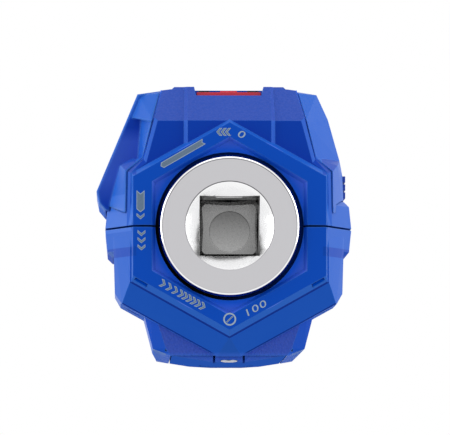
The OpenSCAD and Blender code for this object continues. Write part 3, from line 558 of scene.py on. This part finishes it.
def blue_masks(tree, spot, lean, brow_grain):
    """Where each shade of blue lies, by place and by the way that a face leans; most mark painted
    light and shade.
    """
    across, along, up = parts_of(tree, spot)
    lean_x, lean_y, lean_z = lean
    aside = math_node(tree, "ABSOLUTE", across)
    radius = distance(tree, across, up)
    front = under(tree, lean_y, front_lean)
    slope = within(tree, lean_z, slope_lean)
    brow = times(
        tree, under(tree, lean_y, -brow_lean), over(tree, lean_z, brow_lean), brow_grain
    )
    bay_front = times(tree, front, under(tree, up, bay_up), over(tree, along, bay_along))
    dish = times(
        tree,
        under(tree, lean_y, dish_lean),
        within(tree, along, dish_along),
        under(tree, radius, dish_reach),
    )
    scoop = times(
        tree,
        under(tree, across, scoop_aside),
        over(tree, along, scoop_along),
        within(tree, up, scoop_up),
        under(tree, lean_y, scoop_lean),
    )
    scoop_glow = times(
        tree, scoop, fade(tree, up, scoop_top_fade), fade(tree, up, scoop_foot_fade)
    )
    crease_places = either(
        tree, within(tree, along, crease_front), within(tree, along, crease_back)
    )
    flank = times(
        tree,
        under(tree, lean_x, flank_lean),
        under(tree, across, flank_aside),
        within(tree, up, flank_up),
    )
    shoulder_slope = times(
        tree, within(tree, up, shoulder_top), within(tree, lean_z, shoulder_lean)
    )
    shoulder_places = either(tree, shoulder_slope, within(tree, up, shoulder_foot))
    recessed = times(
        tree,
        front,
        over(tree, up, recess_up),
        over(tree, along, deck_front),
        under(tree, aside, recess_aside),
        brow_grain,
    )
    bay_corner = times(
        tree,
        under(tree, up, corner_up),
        within(tree, lean_y, corner_lean),
        within(tree, along, corner_along),
    )
    # Painted glints: pale speckled spots on faces turned down, near the front, at the bottom
    # corners and at the tip of the left wing.
    underside_glint = times(
        tree,
        fade(tree, along, glint_fade),
        within(tree, lean_z, glint_lean),
        over(tree, aside, glint_inside),
        either(tree, under(tree, up, glint_up), under(tree, across, glint_aside)),
    )
    sparked = either(tree, brow, bay_front)
    return {
        "recessed": recessed,
        "scoop": scoop,
        "flank": flank,
        "shoulder": times(tree, over(tree, aside, shoulder_aside), shoulder_places),
        "chamfer": times(tree, slope, within(tree, along, chamfer_along)),
        "crease": times(tree, slope, under(tree, up, crease_up), crease_places),
        "bay_corner": bay_corner,
        "sparked": sparked,
        "bay_front": bay_front,
        "foot": fade(tree, up, foot_fade),
        "speckle": times(tree, sparked, cloud(tree, spot, size=0.5)),
        "dish": dish,
        "dish_glow": times(tree, dish, fade(tree, radius, dish_fade)),
        "scoop_glow": scoop_glow,
        "glint": times(tree, underside_glint, cloud(tree, spot, size=2.2, detail=3)),
    }


def moulded_blue(name, brow_grain, edge_radius, shine):
    blue, tree, shader = paint(name)
    spot = place_on(tree)
    facing = tree.nodes.new("ShaderNodeNewGeometry").outputs["True Normal"]
    lean = parts_of(tree, facing, 1)
    masks = blue_masks(tree, spot, lean, brow_grain)
    skin = place_group(tree, moulded_skin, Grain=masks["sparked"], Depth=1.0)
    edge = place_group(tree, edge_highlight, Radius=edge_radius)
    masks["edge"] = edge.outputs["Edge"]
    # Faces turned to the side get a lighter blue: painted light.
    base = tint(tree, fade(tree, lean[1], side_lean), smooth_blue, side_lit_blue)
    for place, share, layer_blue in blue_layers:
        base = tint(tree, times(tree, masks[place], share), base, layer_blue)
    tree.links.new(base, shader.inputs["Base Color"])
    shader.inputs["Specular IOR Level"].default_value = shine
    underneath = under(tree, lean[2], underneath_lean)
    dull = times(tree, either(tree, masks["sparked"], underneath), dull_side_rough)
    drift = plus(tree, times(tree, skin.outputs["Mottle"], drift_rough), nylon_rough)
    tree.links.new(plus(tree, dull, drift), shader.inputs["Roughness"])
    relief(tree, shader, skin.outputs["Height"], nylon_depth, edge.outputs["Normal"])
    return blue


for name, brow_grain, edge_radius, shine in (
    ("upper_shell", 1, 0.25, nylon_shine),
    ("lower_shell", 1, 0.25, nylon_shine),
    ("left_cheek", 0, 0.8, nylon_shine),
    ("right_cheek", 0, 0.35, nylon_shine),
    ("battery_door", 0, 0.25, 0),
):
    dress(name, moulded_blue(f"{name}_blue", brow_grain, edge_radius, shine))

# Direction marks: silver-grey ink printed on the hexagon's front face, each with a paler
# outline. A long bar and chevrons lead anticlockwise from the top, and ever closer
# chevrons lead to the struck circle at the bottom.
face_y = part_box("upper_shell")[0][1]
ink_thick = 0.03 * MM
ink_patch = 0.25
chevron_size = {"long": 0.6, "wide": 1.66, "point": 0.72, "rim": 0.1}
long_bar_size = {"long": 10.3, "wide": 1.3, "point": 0.45, "rim": 0.13}
side_arrow_size = {"long": 4.0, "wide": 1.7, "point": 0.72, "rim": 0.13}

# Pixels of the photograph's frame, 450 wide: the drive axis as it falls on the hexagon's
# face, and the places of the marks. The row at the foot falls as it runs to the right.
axis_pixel = 229.6, 225.7
face_pixels_per_mm = 4.665
face_lift = 0.07
top_chevrons_aside, top_chevrons_down = (220.9, 225.3, 229.6), 131.8
row_tips = 165.3, 171.7, 177.6, 183.3, 187.6, 191.8, 196.1, 200.5, 205
row_back, row_down, row_fall = 3.9, 283, 0.573
low_chevrons_aside, low_chevrons_down, low_chevrons_pitch = 141.4, 231.6, 7.1
side_chevron_pixel = 140.4, 214.7
long_bar_pixel = 183.2, 153.3
side_arrow_pixel = 140.4, 199.8


def ink(name, colour):
    material, tree, shader = paint(name)
    patchy = cloud(tree, place_on(tree), ink_patch)
    dark = tuple(0.7 * part for part in colour)
    tree.links.new(tint(tree, patchy, dark, colour), shader.inputs["Base Color"])
    tree.links.new(times(tree, patchy, 0.8), shader.inputs["Roughness"])
    shader.inputs["Metallic"].default_value = 0.2
    return material


fill_ink = ink("fill_ink", (0.14, 0.22, 0.33))
line_ink = ink("line_ink", (0.4, 0.52, 0.63))


def sheet(name, long, wide, *materials):
    """A flat oblong across the Z axis, long by wide millimetres, to be shaped further."""
    bpy.ops.object.select_all(action="DESELECT")
    bpy.ops.mesh.primitive_plane_add(size=1)
    piece = bpy.context.object
    piece.name = name
    for material in materials:
        piece.data.materials.append(material)
    piece.scale = (long * MM, wide * MM, 1)
    bpy.ops.object.transform_apply(location=False, rotation=False, scale=True)
    return piece


def thicken(piece, thick):
    wall = piece.modifiers.new("thickness", "SOLIDIFY")
    wall.thickness = thick
    wall.offset = 0
    bpy.ops.object.modifier_apply(modifier=wall.name)


def arrow(name, long, wide, point, rim):
    """A flat arrow of ink that points to +X: the middle of both ends runs ahead by the point."""
    mark = sheet(name, long, wide, line_ink, fill_ink)
    bpy.ops.object.mode_set(mode="EDIT")
    bpy.ops.mesh.subdivide(number_cuts=1)
    pick(mark, lambda place: abs(place.y) < 0.1 * wide * MM)
    bpy.ops.transform.translate(value=(point * MM, 0, 0))
    bpy.ops.mesh.select_all(action="SELECT")
    bpy.ops.mesh.inset(thickness=rim * MM, depth=0)
    mark.active_material_index = 1
    bpy.ops.object.material_slot_assign()
    bpy.ops.object.mode_set(mode="OBJECT")
    thicken(mark, 2 * ink_thick)
    return mark


def again(pattern, name):
    alone(pattern)
    bpy.ops.object.duplicate(linked=False)
    copy = bpy.context.object
    copy.name = name
    return copy


def printed(mark, pixel, heading=0):
    """Sets a mark on the hexagon's face, at a pixel, turned to a heading in degrees."""
    mark.rotation_euler = (math.radians(90), -math.radians(heading), 0)
    aside = (pixel[0] - axis_pixel[0]) / face_pixels_per_mm
    above = (axis_pixel[1] - pixel[1]) / face_pixels_per_mm + face_lift
    mark.location = (aside * MM, face_y, above * MM)
    settle(mark, "housing")


chevron = arrow("chevron", **chevron_size)
for index, aside in enumerate(top_chevrons_aside):
    printed(again(chevron, f"top_chevron_{index}"), (aside, top_chevrons_down), heading=180)
for index, tip in enumerate(row_tips):
    pixel = (tip - row_back, row_down + row_fall * (tip - row_tips[0]))
    printed(again(chevron, f"row_chevron_{index}"), pixel, heading=-26)
for index in range(3):
    pixel = (low_chevrons_aside, low_chevrons_down + low_chevrons_pitch * index)
    printed(again(chevron, f"low_chevron_{index}"), pixel, heading=270)
printed(again(chevron, "side_chevron"), side_chevron_pixel, heading=270)
bpy.data.objects.remove(chevron)
printed(arrow("long_bar", **long_bar_size), long_bar_pixel, heading=210)
printed(arrow("side_arrow", **side_arrow_size), side_arrow_pixel, heading=270)

# Struck circle: a ring of the same ink at the lower corner of the hexagon, printed with the
# other marks, with a short bar across it.
ring_pixel = 229.6, 319.4
ring_radius, ring_width = 1.38, 0.33
ring_bar_size = {"long": 1.75, "wide": 0.3, "point": 0.0, "rim": 0.07}


def ring_sheet(name, material, radius, width, corners):
    bpy.ops.object.select_all(action="DESELECT")
    bpy.ops.mesh.primitive_circle_add(vertices=corners, radius=radius * MM, fill_type="NGON")
    ring = bpy.context.object
    ring.name = name
    ring.data.materials.append(material)
    bpy.ops.object.mode_set(mode="EDIT")
    bpy.ops.mesh.select_all(action="SELECT")
    bpy.ops.mesh.inset(thickness=width * MM, depth=0)
    bpy.ops.mesh.delete(type="FACE")
    bpy.ops.object.mode_set(mode="OBJECT")
    return ring


ring = ring_sheet("struck_ring", line_ink, ring_radius, ring_width, corners=48)
thicken(ring, 2 * ink_thick)
printed(ring, ring_pixel)
printed(arrow("ring_bar", **ring_bar_size), ring_pixel, heading=45)

# Numbers: plain numbers in the same ink at both ends of the marks, nought at the start and
# a hundred at the stop, each turned along the hexagon's edge beside it.
nought_pixel, hundred_pixel = (241, 134.4), (254.9, 309.1)
number_lean = 0.1
number_spacing = 1.15


def number(name, digits, pixel, size, broad, turn):
    bpy.ops.object.select_all(action="DESELECT")
    bpy.ops.object.text_add()
    text = bpy.context.object
    text.name = name
    text.data.body = digits
    text.data.size = size * MM
    text.data.shear = number_lean
    text.data.space_character = number_spacing
    text.data.align_x = "CENTER"
    text.data.align_y = "CENTER"
    text.data.extrude = ink_thick
    text.data.materials.append(line_ink)
    bpy.ops.object.convert(target="MESH")
    text = bpy.context.object
    text.scale = (broad, 1, 1)
    printed(text, pixel, turn)


number("number_start", "0", nought_pixel, size=2.2, broad=1.5, turn=-29)
number("number_stop", "100", hundred_pixel, size=2.1, broad=1.55, turn=29)

# Slot ribs: two short blue ribs of the lower shell, moulded with it, that close the bottom
# of the sloping slots below the hexagon. Each is a rounded bar with a raised middle.
rib_long, rib_wide, rib_deep = 3, 0.9, 0.5
rib_round = 0.2
rib_crown = 0.93, 0.6
rib_aside, rib_along, rib_up = 19, 2.6, -12.1
rib_slope = 30
rib_blue = moulded_blue("rib_blue", brow_grain=0, edge_radius=0.1, shine=0)
rib = sheet("slot_rib_left", rib_long, rib_wide, rib_blue)
bpy.ops.object.mode_set(mode="EDIT")
bpy.ops.mesh.bevel(offset=rib_round * MM, segments=3, affect="VERTICES")
bpy.ops.mesh.select_all(action="SELECT")
bpy.ops.mesh.extrude_region_move(TRANSFORM_OT_translate={"value": (0, 0, rib_deep * MM)})
bpy.ops.transform.resize(value=(*rib_crown, 1))
bpy.ops.object.mode_set(mode="OBJECT")
for piece, side in ((again(rib, "slot_rib_right"), 1), (rib, -1)):
    piece.rotation_euler = (math.radians(90), -side * math.radians(rib_slope), 0)
    piece.location = Vector((side * rib_aside, rib_along, rib_up)) * MM
    settle(piece, "housing")

# Joint lips: the thin blue tongues on the sides of the upper shell that fill the groove
# between shell and cheek. Each is one strip, drawn out along the groove from the belt to
# the roof, and the right one is a mirrored copy of the left.
# The lips' blue is brighter than the shells': painted light that keeps the narrow groove from
# going black.
lip_shades = (0.0, 0.14, 0.85), (0.01, 0.17, 0.9)
lip_deep, lip_thick, lip_start = 0.6, 0.24, 0.02
lip_path = (
    (-22.18, 4.62, 3.2),
    (-22.04, 4.62, 11.87),
    (-18.48, 4.86, 14.8),
    (-16.36, 5.4, 23.3),
    (-15.06, 10.2, 28.2),
    (-14.6, 12.0, 30.0),
)


def moulding(name, shades, grain, pitted, rough, depth=None):
    """A moulded plastic or rubber whose colour drifts between two near shades."""
    material, tree, shader = paint(name)
    skin = place_group(tree, moulded_skin, Grain=grain, Depth=pitted)
    tree.links.new(tint(tree, skin.outputs["Mottle"], *shades), shader.inputs["Base Color"])
    shader.inputs["Roughness"].default_value = rough
    if depth is not None:
        relief(tree, shader, skin.outputs["Height"], depth)
    return material


lip_blue = moulding("lip_blue", lip_shades, grain=0.1, pitted=0.3, rough=0.5, depth=0.02)
bpy.ops.object.select_all(action="DESELECT")
bpy.ops.mesh.primitive_plane_add(size=1, rotation=(0, math.radians(90), 0))
lip = bpy.context.object
lip.name = "joint_lip_left"
lip.data.materials.append(lip_blue)
lip.scale = (lip_start * MM, lip_deep * MM, 1)
lip.location = Vector(lip_path[0]) * MM + Vector((0, lip_deep * MM / 2, 0))
bpy.ops.object.transform_apply(location=True, rotation=True, scale=True)
bpy.ops.object.mode_set(mode="EDIT")
pick(lip, lambda place: place.z > lip_path[0][2] * MM)
for here, there in zip(lip_path, lip_path[1:]):
    step = (Vector(there) - Vector(here)) * MM
    bpy.ops.mesh.extrude_region_move(TRANSFORM_OT_translate={"value": step})
bpy.ops.object.mode_set(mode="OBJECT")
for piece, side in ((again(lip, "joint_lip_right"), -1), (lip, 1)):
    alone(piece)
    piece.scale = (side, 1, 1)
    bpy.ops.object.transform_apply(location=False, rotation=False, scale=True)
    bpy.ops.object.mode_set(mode="EDIT")
    bpy.ops.mesh.select_all(action="SELECT")
    bpy.ops.mesh.normals_make_consistent(inside=False)
    bpy.ops.object.mode_set(mode="OBJECT")
    thicken(piece, lip_thick * MM)
    settle(piece, "housing")

# Side grip: a pad of soft navy rubber with three ribs, moulded by itself and pressed into
# the right cheek, where its ribs stand out of the outline.
grip_shades = (0.002, 0.05, 0.36), (0.006, 0.065, 0.44)
grip_rubber = moulding("grip_rubber", grip_shades, grain=0.5, pitted=0.6, rough=0.7, depth=0.05)
dress("side_grip", grip_rubber)

# Seals and side keys: moulded black rubber, faintly dusty. The front seal is pressed in
# between head and housing, and has a painted navy reflection at the upper right.
rubber_shades = (0.002, 0.002, 0.0025), (0.008, 0.008, 0.009)
sheen_navy = (0.002, 0.03, 0.2)
sheen_aside, sheen_up = (-4, 12), (0, 14)
dust_size = 2.5


black_rubber, tree, shader = paint("black_rubber")
dust = cloud(tree, place_on(tree), dust_size, detail=4)
skin = place_group(tree, moulded_skin, Grain=0.3, Depth=0.4)
tree.links.new(tint(tree, dust, *rubber_shades), shader.inputs["Base Color"])
tree.links.new(plus(tree, times(tree, dust, 0.3), 0.4), shader.inputs["Roughness"])
relief(tree, shader, skin.outputs["Height"], depth=0.04)
for name in ("rear_seal", "minus_key", "plus_key"):
    dress(name, black_rubber)

clean_rubber, tree, shader = paint("clean_rubber")
spot = place_on(tree)
across, _, up = parts_of(tree, spot)
black = tint(tree, cloud(tree, spot, dust_size, detail=4), *rubber_shades)
# Painted reflection: navy towards the right and the top.
sheen = either(tree, fade(tree, across, sheen_aside), fade(tree, up, sheen_up))
tree.links.new(tint(tree, sheen, black, sheen_navy), shader.inputs["Base Color"])
shader.inputs["Roughness"].default_value = 0.6
shader.inputs["Specular IOR Level"].default_value = 0
dress("front_seal", clean_rubber)

# Key tray and power key: glossy red plastic, in which the flow of the moulding just shows, and a
# painted highlight lightens its edges.
# The tray drops into the notch on top of the housing, and the key stands in its middle.
red_shades = (0.66, 0.008, 0.035), (0.76, 0.014, 0.05)
red_edge_highlight = (0.9, 0.1, 0.14)
red_plastic, tree, shader = paint("red_plastic")
skin = place_group(tree, moulded_skin, Grain=0.1, Depth=0.3)
edge = place_group(tree, edge_highlight)
red = tint(tree, skin.outputs["Mottle"], *red_shades)
# Painted highlight along the edges.
red = tint(tree, times(tree, edge.outputs["Edge"], 0.4), red, red_edge_highlight)
tree.links.new(red, shader.inputs["Base Color"])
shader.inputs["Roughness"].default_value = 0.25
relief(tree, shader, skin.outputs["Height"], depth=0.03, normal=edge.outputs["Normal"])
dress("keypad_tray", red_plastic)
dress("power_key", red_plastic)

# Latch lip: a pale moulded bead in the finger notch of the battery door, with a dent in
# the middle of its upper edge. It is a block with tapered ends, and slides with the door.
latch_wide, latch_deep, latch_high = 3.5, 1.2, 0.5
latch_dent, latch_taper = 0.16, 0.4
latch_along, latch_up = 0.62, 0.27
latch_shades = (0.8, 0.81, 0.82), (0.88, 0.88, 0.88)
door_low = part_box("battery_door")[0]
bpy.ops.object.select_all(action="DESELECT")
bpy.ops.mesh.primitive_cube_add(size=1)
latch = bpy.context.object
latch.name = "latch_lip"
latch.scale = (latch_wide * MM, latch_deep * MM, latch_high * MM)
bpy.ops.object.transform_apply(location=False, rotation=False, scale=True)
bpy.ops.object.mode_set(mode="EDIT")
bpy.ops.mesh.subdivide(number_cuts=3)
pick(latch, lambda place: abs(place.x) < 0.1 * MM and place.z > 0.4 * latch_high * MM)
bpy.ops.transform.translate(value=(0, 0, -latch_dent * MM))
pick(latch, lambda place: abs(place.x) > 0.46 * latch_wide * MM)
bpy.ops.transform.resize(value=(1, 1, latch_taper))
bpy.ops.object.mode_set(mode="OBJECT")
latch.location = (0, door_low[1] + latch_along * MM, door_low[2] + latch_up * MM)
latch_pale = moulding("latch_pale", latch_shades, grain=0.2, pitted=0.5, rough=0.4, depth=0.02)
latch.data.materials.append(latch_pale)
settle(latch, "battery_door")

# Display: a clear acrylic lens over a liquid crystal glass, which a white moulded holder
# keeps under the window of the upper shell.
haze_shades = (0.86, 0.89, 0.9), (0.95, 0.97, 0.97)
glass_shades = (0.36, 0.44, 0.33), (0.5, 0.58, 0.44)
white_shades = (0.66, 0.66, 0.63), (0.78, 0.78, 0.76)
lens_clear, tree, shader = paint("lens_clear")
haze = cloud(tree, place_on(tree), size=3, detail=3)
tree.links.new(tint(tree, haze, *haze_shades), shader.inputs["Base Color"])
shader.inputs["Roughness"].default_value = 0.02
shader.inputs["IOR"].default_value = 1.49
shader.inputs["Transmission Weight"].default_value = 1
dress("display_lens", lens_clear)

display_glass, tree, shader = paint("display_glass")
glow = cloud(tree, place_on(tree), size=14, detail=1)
tree.links.new(tint(tree, glow, *glass_shades), shader.inputs["Base Color"])
shader.inputs["Roughness"].default_value = 0.15
dress("lcd_glass", display_glass)

white_plastic = moulding(
    "white_plastic", white_shades, grain=0.2, pitted=0.5, rough=0.5, depth=0.03
)
dress("lcd_holder", white_plastic)

# Digits: dark bars in the liquid crystal that read nought, six bars to each figure, with
# pointed ends where two bars meet, and a short bar as the decimal point.
digit_dark = ink("digit_dark", (0.02, 0.025, 0.02))
glass_low, glass_high = (Vector(corner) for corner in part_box("lcd_glass"))
glass_mid = (glass_low + glass_high) / 2
digit_wide, digit_high, bar_wide = 2.6, 5.6, 0.5
bar_gap, corner_gap = 0.2, 0.15
digits_aside = -5.4, -1.0, 4.2
point_long, point_aside = 0.62, 1.65


def lcd_bar(name, long):
    bar = sheet(name, long, bar_wide, digit_dark)
    bpy.ops.object.mode_set(mode="EDIT")
    bpy.ops.mesh.subdivide(number_cuts=1)
    pick(bar, lambda place: abs(place.x) > 0.4 * long * MM and abs(place.y) > 0.1 * bar_wide * MM)
    bpy.ops.transform.resize(value=(1 - bar_wide / long, 1, 1))
    bpy.ops.object.mode_set(mode="OBJECT")
    thicken(bar, ink_thick)
    return bar


def lit(bar, aside, above, upright=False):
    bar.rotation_euler = (0, 0, math.radians(90 if upright else 0))
    bar.location = (
        glass_mid.x + aside * MM,
        glass_mid.y + above * MM,
        glass_high.z + ink_thick,
    )
    settle(bar, "housing")


half_high = digit_high / 2
column = digit_wide / 2 + corner_gap
level_bar = lcd_bar("level_bar", digit_wide - bar_gap)
upright_bar = lcd_bar("upright_bar", half_high - bar_gap)
bar_places = (
    (level_bar, 0, half_high),
    (level_bar, 0, -half_high),
    (upright_bar, column, half_high / 2),
    (upright_bar, column, -half_high / 2),
    (upright_bar, -column, half_high / 2),
    (upright_bar, -column, -half_high / 2),
)
for digit, digit_aside in enumerate(digits_aside):
    for index, (bar, aside, above) in enumerate(bar_places):
        copy = again(bar, f"digit_{digit}_{index}")
        lit(copy, digit_aside + aside, above, upright=bar is upright_bar)
bpy.data.objects.remove(level_bar)
bpy.data.objects.remove(upright_bar)
lit(lcd_bar("digit_point", point_long), point_aside, -half_high)

# Key marks: a minus, a plus and a power sign, pressed into the key tops and filled with
# white ink. Each rides on its key.
key_white = ink("key_white", (0.75, 0.75, 0.74))
sign_long, sign_wide = 1.5, 0.35
crossbar_wide = 0.34
power_long, power_wide, power_up = 1.1, 0.32, 0.55
power_radius, power_ring_width, power_gap = 0.95, 0.28, 0.42


def key_bar(name, long, wide):
    bar = sheet(name, long, wide, key_white)
    bpy.ops.object.mode_set(mode="EDIT")
    bpy.ops.mesh.bevel(offset=0.3 * wide * MM, segments=3, affect="VERTICES")
    bpy.ops.object.mode_set(mode="OBJECT")
    thicken(bar, 2 * ink_thick)
    return bar


def pressed_in(mark, key, above=0, turn=0):
    low, high = (Vector(corner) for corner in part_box(key))
    mark.rotation_euler = (0, 0, math.radians(turn))
    mark.location = ((low.x + high.x) / 2, (low.y + high.y) / 2 + above * MM, high.z)
    settle(mark, key)


minus_stroke = key_bar("minus_stroke", sign_long, sign_wide)
pressed_in(again(minus_stroke, "plus_stroke_flat"), "plus_key")
pressed_in(minus_stroke, "minus_key")
pressed_in(key_bar("plus_stroke_up", sign_long, crossbar_wide), "plus_key", turn=90)
pressed_in(key_bar("power_stroke", power_long, power_wide), "power_key", power_up, turn=90)
power_ring = ring_sheet("power_ring", key_white, power_radius, power_ring_width, corners=40)
bpy.ops.object.mode_set(mode="EDIT")
pick(power_ring, lambda place: place.y > 0.5 * MM and abs(place.x) < power_gap * MM)
bpy.ops.mesh.delete(type="VERT")
bpy.ops.object.mode_set(mode="OBJECT")
thicken(power_ring, 2 * ink_thick)
pressed_in(power_ring, "power_key")

# Circuit board: glass fibre under green solder resist, with copper tracks that show
# through it and black packages below. It hangs from four posts of the upper shell.
resist_shades = (0.008, 0.1, 0.03), (0.03, 0.22, 0.08)
chip_shades = (0.012, 0.012, 0.013), (0.03, 0.03, 0.03)
maze_size = 3
board_green, tree, shader = paint("board_green")
maze = tree.nodes.new("ShaderNodeTexBrick")
maze.inputs["Scale"].default_value = 1 / (maze_size * MM)
maze.inputs["Mortar Size"].default_value = 0.08
tree.links.new(place_on(tree), maze.inputs["Vector"])
tree.links.new(tint(tree, maze.outputs["Fac"], *resist_shades), shader.inputs["Base Color"])
shader.inputs["Roughness"].default_value = 0.3
relief(tree, shader, maze.outputs["Fac"], depth=0.04)
dress("main_board", board_green)
chip_black = moulding("chip_black", chip_shades, grain=0.6, pitted=0.6, rough=0.55, depth=0.03)
dress("board_chips", chip_black)
dress("buzzer", chip_black)

# Wires: copper strands in slightly glossy red insulation, soldered to the board at one end
# and to the buzzer or the battery contacts at the other.
wire_shades = (0.4, 0.01, 0.01), (0.55, 0.03, 0.03)
wire_red = moulding("wire_red", wire_shades, grain=0.1, pitted=0.3, rough=0.35)
dress("buzzer_wire", wire_red)
dress("battery_leads", wire_red)

# Battery cells: two steel cans in a grey printed sleeve that stops short of the bare end,
# laid side by side in the bay and held by the contacts.
sleeve_grey, can_steel = (0.12, 0.14, 0.17), (0.7, 0.7, 0.7)
bare_end = 2
sleeve_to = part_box("battery_cells")[1][1] / MM - bare_end
cell_jacket, tree, shader = paint("cell_jacket")
spot = place_on(tree)
bare = over(tree, parts_of(tree, spot)[1], sleeve_to)
tree.links.new(tint(tree, bare, sleeve_grey, can_steel), shader.inputs["Base Color"])
tree.links.new(bare, shader.inputs["Metallic"])
tree.links.new(plus(tree, cloud(tree, spot, size=5), -0.15), shader.inputs["Roughness"])
dress("battery_cells", cell_jacket)

# Screws: turned steel, zinc-plated and blackened. Four are driven up from below and draw
# the two shells together, and four small ones hold the board to its posts.
screw_shades = (0.12, 0.12, 0.13), (0.3, 0.3, 0.31)
screw_steel, tree, shader = paint("screw_steel")
turned = cloud(tree, place_on(tree), size=0.4)
tree.links.new(tint(tree, turned, *screw_shades), shader.inputs["Base Color"])
shader.inputs["Metallic"].default_value = 1
tree.links.new(plus(tree, times(tree, turned, 0.2), 0.3), shader.inputs["Roughness"])
dress("housing_screws", screw_steel)
dress("board_screws", screw_steel)

# Bench top: pale card that the battery door's flat rests on. The camera sees it from above
# alone, and all other light passes through, as through a light table.
bench_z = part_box("battery_door")[0][2]
bench_half = 1200 * MM
card_white = (0.8, 0.8, 0.8)
bpy.ops.object.select_all(action="DESELECT")
bpy.ops.mesh.primitive_plane_add(size=2 * bench_half, location=(0, 0, bench_z))
bench = bpy.context.object
bench.name = "bench_top"
pale_card, tree, shader = paint("pale_card")
shader.inputs["Base Color"].default_value = (*card_white, 1)
shader.inputs["Roughness"].default_value = 0.9
back_side = tree.nodes.new("ShaderNodeNewGeometry").outputs["Backfacing"]
seen = tree.nodes.new("ShaderNodeLightPath").outputs["Is Camera Ray"]
shown = times(tree, seen, math_node(tree, "SUBTRACT", 1.0, back_side))
clear = tree.nodes.new("ShaderNodeBsdfTransparent")
mix = tree.nodes.new("ShaderNodeMixShader")
tree.links.new(shown, mix.inputs["Fac"])
tree.links.new(clear.outputs["BSDF"], mix.inputs[1])
tree.links.new(shader.outputs["BSDF"], mix.inputs[2])
tree.links.new(mix.outputs["Shader"], tree.nodes["Material Output"].inputs["Surface"])
bench.data.materials.append(pale_card)

# Studio: white surroundings, dimmer for light than for the eye, and softboxes at both
# sides and above, as for a catalogue picture.
room_light, eye_light = 0.58, 0.42
world = bpy.data.worlds.new("studio")
bpy.context.scene.world = world
world.use_nodes = True
sky = world.node_tree
back = sky.nodes["Background"]
back.inputs["Color"].default_value = (1, 1, 1, 1)
path = sky.nodes.new("ShaderNodeLightPath").outputs
bright = either(sky, path["Is Camera Ray"], path["Is Glossy Ray"])
bright = either(sky, bright, path["Is Transmission Ray"])
strength = plus(sky, times(sky, bright, eye_light), room_light)
sky.links.new(strength, back.inputs["Strength"])


def softbox(name, at, size, power):
    bpy.ops.object.light_add(type="AREA", location=Vector(at) * MM)
    lamp = bpy.context.object
    lamp.name = name
    lamp.data.shape = "RECTANGLE"
    lamp.data.size, lamp.data.size_y = size[0] * MM, size[1] * MM
    lamp.data.energy = power
    lamp.rotation_euler = (-Vector(at)).to_track_quat("-Z", "Y").to_euler()


softbox("left_softbox", (-700, -100, 150), (500, 600), power=3.0)
softbox("right_softbox", (700, -100, 150), (500, 600), power=3.0)
softbox("top_softbox", (0, -150, 700), (700, 500), power=1.0)
